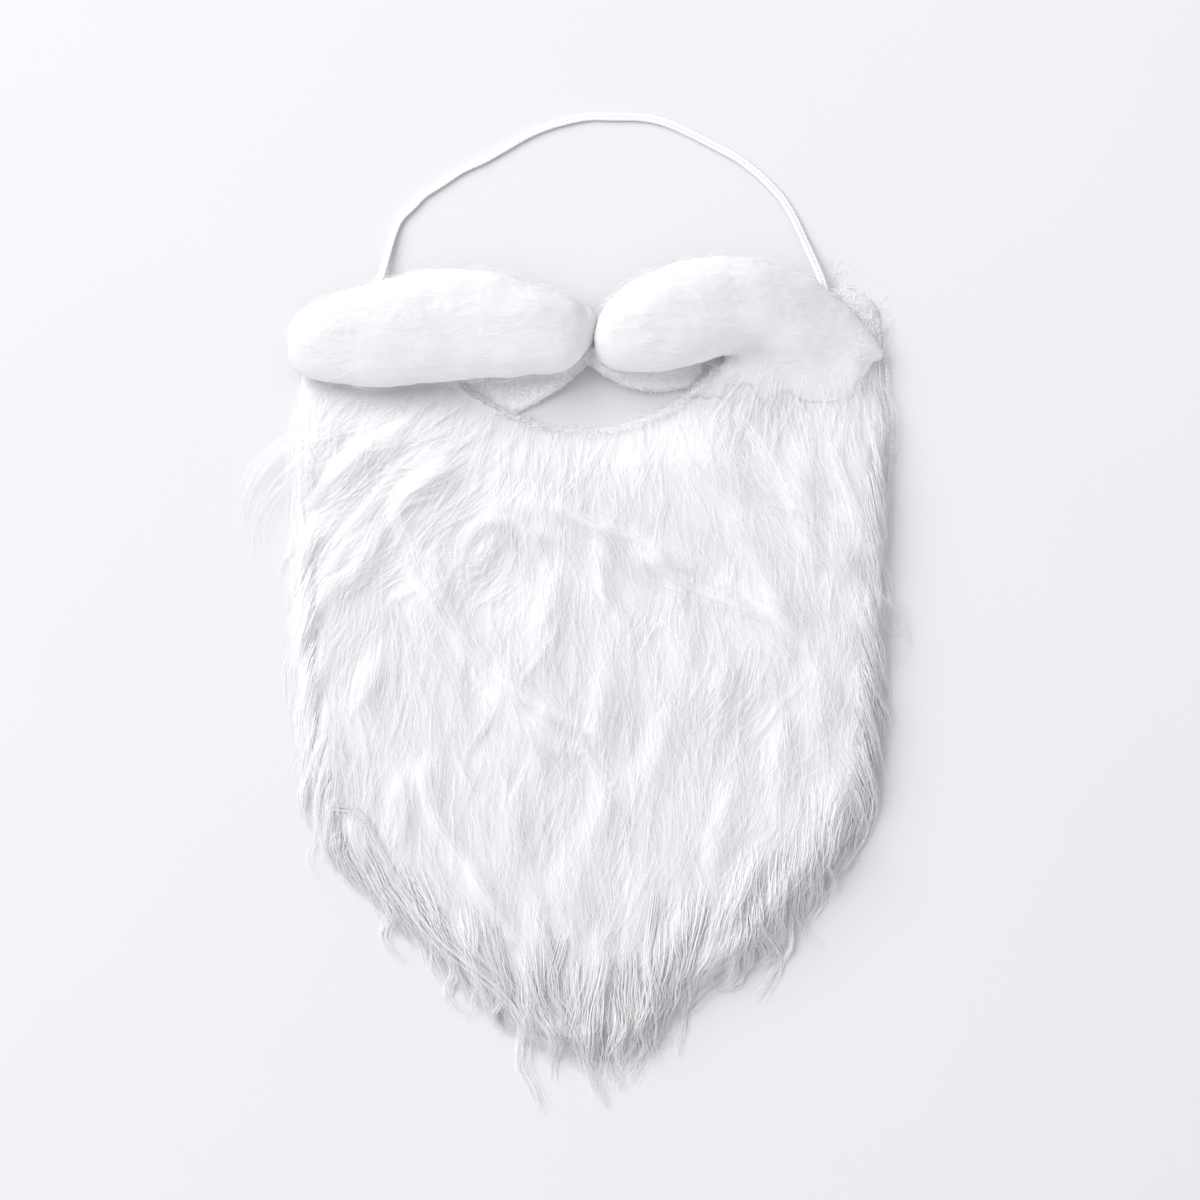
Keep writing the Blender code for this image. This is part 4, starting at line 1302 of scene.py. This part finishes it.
def fringe_guides(seed):
    """Bundles along the edge, looser and wavier the nearer they are to the chin."""
    chance = np.random.default_rng(seed)
    table = np.array([tuple(edge) for edge in LOWER_EDGE_MM], dtype=float)
    line = smooth_path(table[:, :2] * MM, EDGE_STEPS)
    knots = np.linspace(0.0, 1.0, len(table))
    bundles = (np.arange(FRINGE_BUNDLES) + 0.5) / FRINGE_BUNDLES
    bundles = bundles + chance.uniform(-0.3, 0.3, FRINGE_BUNDLES) / FRINGE_BUNDLES
    share = np.linspace(0.0, 1.0, FRINGE_POINTS)
    paths, tone, girth = [], [], []
    for at in bundles:
        tip = line[int(at * (EDGE_STEPS - 1))]
        low = ease((at - 0.12) / 0.12) * ease((0.90 - at) / 0.12)
        turn = math.radians(np.interp(at, knots, table[:, 2]) + chance.normal(0, 7))
        length = np.interp(at, knots, table[:, 3]) * MM * chance.uniform(0.75, 1.15)
        heading = np.array([math.sin(turn), -math.cos(turn)])
        side = np.array([-heading[1], heading[0]])
        out = (0.001 + 0.009 * low * chance.uniform(0.0, 1.0) ** 2) * heading
        outward = np.interp(at, [0.0, 0.42, 0.62, 1.0], [-1.0, -0.4, 0.4, 1.0])
        bend = low * (outward * chance.uniform(0.0, 0.85) + chance.normal(0.0, 0.25))
        swing = length * bend * share**3 / 3
        spill = 0.001 + low * chance.uniform(0.001, 0.013)
        phase = chance.uniform(0, 6.3)
        size = (0.3 + 1.7 * low * chance.uniform(0.3, 1.0)) * MM
        bundle_tone = chance.uniform(0.2, 0.9)
        for _ in range(3 if low > 0.3 else 1):
            off = chance.uniform(-0.5, 0.5) * BUNDLE_WIDTH
            back = (share - 1)[:, None] * length * chance.uniform(0.9, 1.1)
            wave = size * np.sin(share * CURL_WAVES + phase) * share
            plan = tip + out + back * heading
            plan = plan + side * (off * (1 - 0.72 * share**1.4) + wave + swing)[:, None]
            left, right = hair_reach(plan[:, 1])
            inset = 0.010 * (1 - share) - spill * share
            least = left + inset
            plan[:, 0] = np.clip(plan[:, 0], least, np.maximum(least, right - inset))
            paths.append((plan, -0.0014 + 0.0030 * arch(share)))
            tone.append(np.clip(bundle_tone + chance.uniform(-0.1, 0.1), 0, 1))
            girth.append(chance.uniform(0.8, 1.2) * (0.7 + 0.3 * low))
    return laid_bundles(paths, tone, girth, slope=0.5)


FRINGE_GROWTH = Growth(6, spread=0.0026, gather=0.45, frizz=0.0052, thickness=0.00022, seed=12)
grow("hair_fringe", fringe_guides(41), FRINGE_GROWTH)

# %% [markdown]
# ## The backing
#
# Fur cloth is knitted: the pile is caught in the loops of a thin ground cloth, which shows
# from below and along the cut edges. It is one flat sheet, cut to the beard's outline with a
# curved edge for the mouth, so an outline filled with faces and given a thickness makes it.

# %% Knitted finish of the backing
COURSE = 0.0011
WALE = 0.0012
KNIT_DEPTH = 0.0003
KNIT_GREY = (0.80, 0.80, 0.82, 1)
KNIT_WHITE = (0.95, 0.95, 0.96, 1)

knit_material, wires, shader = new_material("knitted_backing")
knit_places = wires.places()
knit_x, knit_y = knit_places.parts()[:2]
wobble = wires.noise(knit_places, 60.0) * 1.6
wale = (knit_x * (2 * math.pi / WALE) + wobble).sin()
leaning = wale.absolute() * 2.2
course = (knit_y * (2 * math.pi / COURSE) + leaning + wobble).sin()
loops = course * 0.3 + wale.absolute() * 0.45 + 0.3
thread_noise = wires.noise(knit_places, 900.0, 3.0)
knit_height = loops * 0.75 + thread_noise * 0.25
feed(shader, "Base Color", wires.blend(knit_height, KNIT_GREY, KNIT_WHITE))
feed(shader, "Roughness", 0.92 - thread_noise * 0.15)
feed(shader, "Normal", wires.bump(knit_height, KNIT_DEPTH))

outline = backing_outline()
backing_mesh = flat_sheet("knit_backing", outline, BACKING_LIFT, BACKING_THICKNESS)
backing = add_piece("knit_backing", backing_mesh, knit_material, "beard_fur")

# %% [markdown]
# ## The lip band
#
# Behind the moustache lies a narrow band of pressed, not woven, cloth. Its lower edge is the
# upper lip of the mouth hole. It lies on the table at its ends and rises to the rolls in the
# middle, so it is a grid whose rows follow that rise, thickened by Solidify.

# %% Lip band
MEET_X = 0.00595
LIP_LENGTH = 0.125
LIP_TOP = 0.1413
LIP_THICKNESS = 0.0009
LIP_MIDDLE = 0.508
PRESSED_GREY = (0.64, 0.64, 0.67, 1)
PAINTED_LIGHT_PALE = (0.80, 0.80, 0.83, 1)
FIBRE_WHITE = (0.97, 0.97, 0.98, 1)
CUT_WHITE = (1.0, 1.0, 1.0, 1)

LipRow = namedtuple("LipRow", "along lower z")
LIP_ROWS_MM = (
    LipRow(0.000, 117.2, 0.5),
    LipRow(0.100, 114.3, 0.5),
    LipRow(0.200, 112.2, 0.5),
    LipRow(0.267, 114.8, 0.9),
    LipRow(0.340, 119.6, 2.4),
    LipRow(0.407, 124.6, 4.6),
    LipRow(0.450, 129.2, 5.4),
    LipRow(0.495, 134.2, 5.7),
    LipRow(0.540, 129.9, 5.5),
    LipRow(0.610, 125.5, 4.5),
    LipRow(0.680, 123.0, 2.8),
    LipRow(0.740, 122.8, 1.5),
    LipRow(0.810, 124.0, 0.8),
    LipRow(0.870, 125.1, 0.5),
    LipRow(1.000, 128.4, 0.5),
)
LIP_COLUMNS = 90
LIP_STRIPS = 12


def lip_place(along, up):
    """A point of the band: along it from 0 to 1, and up from its lower edge from 0 to 1."""
    places = [row.along for row in LIP_ROWS_MM]
    lower = np.interp(along, places, [row.lower for row in LIP_ROWS_MM]) * MM
    z = np.interp(along, places, [row.z for row in LIP_ROWS_MM]) * MM
    x = MEET_X + (along - LIP_MIDDLE) * LIP_LENGTH
    return Vector((x, lower + up * (LIP_TOP - lower), z))


def make_lip_band():
    """The band as a grid, with its cut edge marked for the material."""
    shell = bmesh.new()
    rim = shell.verts.layers.float.new("rim")
    bmesh.ops.create_grid(shell, x_segments=LIP_COLUMNS, y_segments=LIP_STRIPS, size=0.5)
    for vert in shell.verts:
        along, up = vert.co.x + 0.5, vert.co.y + 0.5
        vert[rim] = 1.0 if up < 0.01 else 0.0
        vert.co = lip_place(along, up)
    for _ in range(2):
        bmesh.ops.smooth_vert(shell, verts=list(shell.verts), factor=0.5, use_axis_z=True)
    return mesh_from(shell, "lip_cloth")


felt_material, wires, shader = new_material("pressed_cloth")
felt_places = wires.places()
grain = wires.noise(felt_places, 950.0, 3.0)
fibres = wires.noise(felt_places * wires.together(1.0, 0.35, 1.0), 700.0, 3.0)
speckle = grain * 0.6 + fibres * 0.4
# Painted light: the band is paler towards its right end, which the right roll shades.
right_painted_light = felt_places.parts()[0] * 30.0
pale = wires.blend(right_painted_light, PRESSED_GREY, PAINTED_LIGHT_PALE)
pressed = wires.blend((speckle - 0.3) * 2.5, pale, FIBRE_WHITE)
cut_edge = wires.attribute("rim") * 2.0 - 1.0
feed(shader, "Base Color", wires.blend(cut_edge, pressed, CUT_WHITE))
feed(shader, "Roughness", 0.95 - speckle * 0.2)
feed(shader, "Normal", wires.bump(speckle, 0.0004))

lip_mesh = make_lip_band()
lip_piece = add_piece("lip_cloth", lip_mesh, felt_material, "lip_band")
thickness = lip_piece.modifiers.new("thickness", "SOLIDIFY")
thickness.thickness = LIP_THICKNESS
thickness.offset = 0.0

# %% [markdown]
# ## Cut edges
#
# A cut knit ravels: along the mouth its threads end in a white, speckled line about two
# millimetres wide. The same short ends stand along the cut edge of the lip band, down the
# right side, and on the tab of cloth that shows past the right roll. Each is a short bent
# thread, set at random on a path.

# %% Loose ends along the cut edges
Ravel = namedtuple("Ravel", "name count width length low high path")
RIGHT_EDGE_MM = ((100, 169), (108, 163), (117, 154), (124, 144), (128, 134), (129, 120), (131, 96))
TAB_MM = ((103, 167), (111, 161), (119, 153), (125, 143))
MOUTH_PATH = mouth_edge(60) - [0.0, 0.0010]
RAVELS = (
    Ravel("mouth_ravel", 1300, 0.0018, 0.0015, 0.0005, 0.0016, MOUTH_PATH),
    Ravel("tab_fuzz", 420, 0.0090, 0.0034, -0.0001, 0.0008, np.array(TAB_MM) * MM),
    Ravel("side_ravel", 300, 0.0007, 0.0014, -0.0005, 0.0006, np.array(RIGHT_EDGE_MM) * MM),
)
RAVEL_GROWTH = Growth(1, spread=0.0, gather=0.0, frizz=0.0004, thickness=0.00017, seed=16)
LIP_ENDS = 900


def loose_ends(ravel, seed):
    """Short bent guides at random along a path, across it and along it."""
    chance = np.random.default_rng(seed)
    count = ravel.count
    line = smooth_path(ravel.path, EDGE_STEPS)
    at = line[chance.integers(0, EDGE_STEPS, count)]
    start = at + chance.normal(0.0, ravel.width / 2, (count, 2))
    turn = chance.uniform(0, 2 * math.pi, count)
    length = ravel.length * chance.uniform(0.5, 1.4, count)
    share = np.linspace(0.0, 1.0, 4)
    bend = turn[:, None] + chance.normal(0, 0.7, (count, 1)) * share
    steps = np.stack([np.cos(bend), np.sin(bend)], axis=2) * length[:, None, None] / 3
    plan = start[:, None] + np.cumsum(steps, axis=1)
    ground = fur_heights.at(plan).max(axis=1, keepdims=True)
    z = ground + chance.uniform(ravel.low, ravel.high, (count, 1))
    z = z + 0.0004 * np.sin(math.pi * share)
    paths = np.concatenate([plan, z[..., None]], axis=2)
    return paths, chance.uniform(0.6, 1.0, count), np.ones(count)


def lip_edge_ends(count, seed):
    """Short ends along the band's cut edge, at the height of the band there."""
    chance = np.random.default_rng(seed)
    paths = []
    for along in chance.uniform(0.08, 0.98, count):
        at = lip_place(along, chance.uniform(-0.01, 0.05))
        turn = chance.uniform(0, 2 * math.pi)
        length = 0.0013 * chance.uniform(0.5, 1.6)
        rise = chance.uniform(0.0004, 0.0009)
        step = Vector((math.cos(turn), math.sin(turn), 0.0)) * length / 3
        paths.append([at + step * i + Vector((0, 0, rise)) for i in range(4)])
    return np.array(paths), chance.uniform(0.6, 1.0, count), np.ones(count)


for seed, ravel in enumerate(RAVELS, start=61):
    grow(ravel.name, loose_ends(ravel, seed), RAVEL_GROWTH)
grow("lip_ravel", lip_edge_ends(LIP_ENDS, 71), RAVEL_GROWTH, "lip_band")

# %% [markdown]
# ## Stitches
#
# Sewing repeats one small form, so a second tree makes it: even steps along a path, and at each
# one a stitch that is turned to the path. A plain sphere, drawn out and scaled, is enough for a
# stitch that is under two millimetres long. Most of the rows only show from below.

# %% The stitch tree
STITCH_SIZES = (
    ("Path", "NodeSocketGeometry"),
    ("Gap", "NodeSocketFloat"),
    ("Length", "NodeSocketFloat"),
    ("Thread", "NodeSocketFloat"),
    ("Material", "NodeSocketMaterial"),
)


def build_stitch_tree():
    tree, given, end = new_tree("stitches", STITCH_SIZES)
    wires = Wire(tree)
    lines = wires.node("GeometryNodeMeshToCurve", {}, {0: given["Path"]})
    stepping = {"Curve": lines, "Length": given["Gap"]}
    steps = wires.node("GeometryNodeResampleCurve", {"mode": "LENGTH"}, stepping)
    ahead = wires.node("GeometryNodeInputTangent")
    turn = wires.node("FunctionNodeAlignRotationToVector", {"axis": "X"}, {"Vector": ahead})
    ball = wires.node("GeometryNodeMeshUVSphere", {}, {"Segments": 6, "Rings": 5, "Radius": 0.5})
    size = wires.together(given["Length"], given["Thread"], given["Thread"])
    setting = {"Points": steps, "Instance": ball, "Rotation": turn, "Scale": size}
    sewn = wires.node("GeometryNodeInstanceOnPoints", {}, setting)
    finish_tree(wires, sewn, given["Material"], end)
    return tree


stitch_tree = build_stitch_tree()
print("stitch tree:", len(stitch_tree.nodes), "nodes")

# %% Rows of stitches
TWIST_SCALE = 2600.0
THREAD_WHITE = (0.96, 0.96, 0.97, 1)

thread_material, wires, shader = new_material("sewing_thread")
twist = wires.noise(wires.places(), TWIST_SCALE, 1.0)
feed(shader, "Base Color", wires.blend(twist, KNIT_GREY, THREAD_WHITE))
shader.inputs["Roughness"].default_value = 0.6

Seam = namedtuple("Seam", "name gap length thread")
UNDER_Z = 0.28
TACK_TURNS = 9
TACK_REACH = 6
ROLL_SEAMS_MM = (
    (Seam("seam_left", 2.6, 1.8, 0.42), ((-110, 146), (-92, 150), (-72, 149), (-50, 143))),
    (Seam("seam_right", 2.6, 1.8, 0.42), ((56, 143), (76, 150), (98, 150), (120, 143))),
)
TACKS_MM = (
    (Seam("tack_left", 0.7, 1.1, 0.40), (-92.5, 153)),
    (Seam("tack_right", 0.7, 1.1, 0.40), (100, 150)),
)


def sew(seam, places, heights):
    """A row of stitches through places in plan, at one height or at several."""
    points = np.column_stack([places, np.broadcast_to(heights, len(places))]) * MM
    mesh = bpy.data.meshes.new("path")
    mesh.from_pydata(points.tolist(), [(i, i + 1) for i in range(len(points) - 1)], [])
    values = {
        "Gap": seam.gap * MM,
        "Length": seam.length * MM,
        "Thread": seam.thread * MM,
        "Material": thread_material,
    }
    made = run_tree(mesh, stitch_tree, values)
    made.name = seam.name
    add_piece(seam.name, made, thread_material, "beard_fur")


for seam, places in ROLL_SEAMS_MM:
    sew(seam, places, UNDER_Z)
for seam, (x, y) in TACKS_MM:
    sew(seam, [(x + i, y + TACK_REACH * (i % 2)) for i in range(TACK_TURNS)], UNDER_Z)

edge_line = smooth_path(np.array(RIGHT_EDGE_MM[1:6], dtype=float), 40)
edge_heights = fur_heights.at(edge_line * MM) / MM + 0.3
sew(Seam("edge_stitches", 1.9, 1.1, 0.45), edge_line, edge_heights)

# %% [markdown]
# ## The moustache
#
# Each half is a roll of polyester batting, brushed smooth. It is soft and springy, has no
# skin, and its outline is a haze of fine fibres. The solid's form is remeshed and smoothed,
# pushed in and out by slow noise, and then given a coat of fibres that run along it.
#
# Light goes a long way into batting, so the side that is turned from the window is nearly as
# bright as the side towards it. Scattering under the skin gives some of that. The rest is
# painted light: the colour grows paler where the form turns away from the window.

# %% Batting rolls
ROLL_VOXEL = 0.0016
ROLL_SMOOTHING = 12
LUMP = 0.0011
RUFFLE = 0.00035
LOWEST_BATTING = 0.0016
LUMP_SCALE, RUFFLE_SCALE = 70.0, 330.0
STREAK_SCALE, CLOUD_SCALE = 420.0, 55.0
BATTING_DEPTH = 0.0003
LIT_WHITES = (0.615, 0.615, 0.625, 1), (0.655, 0.655, 0.665, 1)
SHADED_SIDE_PAINTED_WHITE = (0.97, 0.97, 0.98, 1)

batting_material, wires, shader = new_material("brushed_batting")
batting_places = wires.places()
drawn_out = batting_places * wires.together(0.12, 1.0, 1.0)
streaks = wires.noise(drawn_out, STREAK_SCALE, 3.0)
cloudy = wires.noise(batting_places, CLOUD_SCALE)
haze = streaks * 0.55 + cloudy * 0.45
out_x, out_y = wires.node("ShaderNodeNewGeometry", {}, {}, 1).parts()[:2]
# Painted light: paler where the surface faces away from the window.
painted_light_share = out_x * 0.40 - out_y * 0.75 + 0.04
lit_white = wires.blend(haze, *LIT_WHITES)
feed(shader, "Base Color", wires.blend(painted_light_share, lit_white, SHADED_SIDE_PAINTED_WHITE))
feed(shader, "Roughness", 0.95 - haze * 0.15)
feed(shader, "Normal", wires.bump(haze, BATTING_DEPTH))
shader.inputs["Subsurface Weight"].default_value = 0.7
shader.inputs["Subsurface Radius"].default_value = (1.0, 1.0, 1.0)
shader.inputs["Subsurface Scale"].default_value = 0.006

# %% The rolls' forms
Lobe = namedtuple("Lobe", "x y rise wide deep tall")
MIDDLE_LOBE_MM = Lobe(5.0, 150.5, 10.0, 3.4, 8.5, 8.0)
CUSHION_STEP = 0.002
CUSHION_X = (0.046, 0.127)
CUSHION_Y = (0.106, 0.154)
CUSHION_SINK = 0.0022


def add_middle_lobe(shell):
    """A soft lobe at the inner end of the left roll, where it meets the right one."""
    lobe = MIDDLE_LOBE_MM
    at = np.array([lobe.x, lobe.y]) * MM
    place = Matrix.Translation((at[0], at[1], float(fur_heights.at(at)) + lobe.rise * MM))
    size = Matrix.Diagonal((lobe.wide * MM, lobe.deep * MM, lobe.tall * MM, 1.0))
    bmesh.ops.create_icosphere(shell, subdivisions=3, radius=1.0, matrix=place @ size)


def add_cushion(shell):
    """The swell over the cheek: a closed shell that sinks into the fur along its rim."""
    xs = np.arange(*CUSHION_X, CUSHION_STEP)
    ys = np.arange(*CUSHION_Y, CUSHION_STEP)
    places = np.stack(np.meshgrid(xs, ys, indexing="ij"), axis=-1)
    share = cheek_share(places)
    tops = fur_heights.at(places) - CUSHION_SINK * (1 - share)
    corners = {}
    for i, j in zip(*np.nonzero(share > 0.02)):
        corners[i, j] = shell.verts.new((xs[i], ys[j], LOWEST_BATTING))
    cells = []
    for i, j in corners:
        ring = [(i, j), (i + 1, j), (i + 1, j + 1), (i, j + 1)]
        if all(corner in corners for corner in ring):
            cells.append(shell.faces.new([corners[corner] for corner in ring]))
    raised = bmesh.ops.extrude_face_region(shell, geom=cells, use_keep_orig=True)["geom"]
    for part in raised:
        if isinstance(part, bmesh.types.BMVert):
            i = round((part.co.x - xs[0]) / CUSHION_STEP)
            j = round((part.co.y - ys[0]) / CUSHION_STEP)
            part.co.z = max(LOWEST_BATTING + 0.0004, tops[i, j])
    bmesh.ops.recalc_face_normals(shell, faces=list(shell.faces))


def batting_mesh(node, name, add_form):
    """A roll: the solid with a form added, remeshed, smoothed and made uneven."""
    shell = merged_shell(node)
    add_form(shell)
    mesh = remeshed(mesh_from(shell, name), ROLL_VOXEL, ROLL_SMOOTHING)
    points, normals = points_of(mesh), points_of(mesh, "normal")
    lows = points[:, 2].min()
    for i, (point, normal) in enumerate(zip(points, normals)):
        lump = noise.noise(Vector(point) * LUMP_SCALE) * LUMP
        lump += noise.noise(Vector(point) * RUFFLE_SCALE) * RUFFLE
        upward = min(1.0, max(0.15, (point[2] - lows) / 0.006))
        points[i] = point + normal * lump * upward
    points[:, 2] = np.maximum(points[:, 2], LOWEST_BATTING)
    set_points(mesh, points)
    return mesh


# %% The haze of fibres
FIBRES = 520
FIBRE_POINTS = 4
FIBRE_LENGTH = 0.011
FIBRE_LIFT = 0.0008


def surface_guides(mesh, seed):
    """Guides that run along the roll, near its skin, with a few that stand off it."""
    chance = np.random.default_rng(seed)
    corners = [vertex.co for vertex in mesh.vertices]
    tree = BVHTree.FromPolygons(corners, [polygon.vertices for polygon in mesh.polygons])
    chosen = chance.choice(len(mesh.vertices), FIBRES, replace=False)
    paths, girth = [], chance.uniform(0.7, 1.3, FIBRES)
    for index in chosen:
        at = mesh.vertices[index].co.copy()
        way = Vector((chance.choice((-1.0, 1.0)), chance.normal(0, 0.35), 0.0))
        stand = FIBRE_LIFT * abs(chance.normal(0.0, 1.0)) ** 1.5
        step = FIBRE_LENGTH * chance.uniform(0.6, 1.3) / (FIBRE_POINTS - 1)
        path = []
        for i in range(FIBRE_POINTS):
            near, normal, _, _ = tree.find_nearest(at)
            rise = stand * math.sin(math.pi * i / (FIBRE_POINTS - 1)) ** 0.5 + 0.00005
            path.append(near + normal * rise)
            way = (way - normal * way.dot(normal)).normalized()
            at = near + way * step
        paths.append(path)
    return np.array(paths), chance.uniform(0.3, 1.0, FIBRES), girth


FIBRE_GROWTH = Growth(4, spread=0.0016, gather=0.1, frizz=0.0012, thickness=0.00005, seed=14)
for side, seed, add_form in (("left", 51, add_middle_lobe), ("right", 52, add_cushion)):
    node = f"moustache_roll_{side}"
    roll_mesh = batting_mesh(node, f"batting_{side}", add_form)
    roll = add_piece(f"batting_{side}", roll_mesh, batting_material, node)
    fibre_guides = surface_guides(roll_mesh, seed)
    grow(f"batting_fibres_{side}", fibre_guides, FIBRE_GROWTH, node)

# %% [markdown]
# Over the cheek the batting and the hair run into each other. The swell brings the roll down
# to the fur, and a few strands that start on it and fall over its rim hide the join.

# %% Hair over the cheek
CHEEK_STRANDS = 90


def cheek_guides(count, seed):
    """Strands that fall from the swell, outward at its two ends."""
    chance = np.random.default_rng(seed)
    root_x = chance.uniform(0.064, 0.123, count)
    root_y = chance.uniform(0.116, 0.136, count)
    lean = np.interp(root_x, [0.070, 0.095, 0.123], [-0.35, 0.10, 0.30])
    share = np.linspace(0.0, 1.0, 6)
    start_turn = (lean + chance.normal(0, 0.22, count))[:, None]
    turn = start_turn + chance.normal(0, 0.3, (count, 1)) * share
    length = chance.uniform(0.016, 0.028, (count, 1)) / 5
    steps = np.stack([np.sin(turn), -np.cos(turn)], axis=2) * length[..., None]
    plan = np.stack([root_x, root_y], axis=1)[:, None] + np.cumsum(steps, axis=1)
    plan = within_reach(plan, np.full((count, 1), -0.0005))
    rise = -0.0006 + 0.0016 * arch(share, power=1) + chance.normal(0, 0.0003, (count, 1))
    paths = lay_on(cheek_heights, plan, rise, slope=0.8)
    return paths, chance.uniform(0.5, 1.0, count), np.ones(count)


cheek_heights = HeightMap("beard_fur", "batting_right")
CHEEK_GROWTH = Growth(9, spread=0.0044, gather=0.2, frizz=0.0044, thickness=0.00008, seed=18)
grow("hair_cheek", cheek_guides(CHEEK_STRANDS, 81), CHEEK_GROWTH)
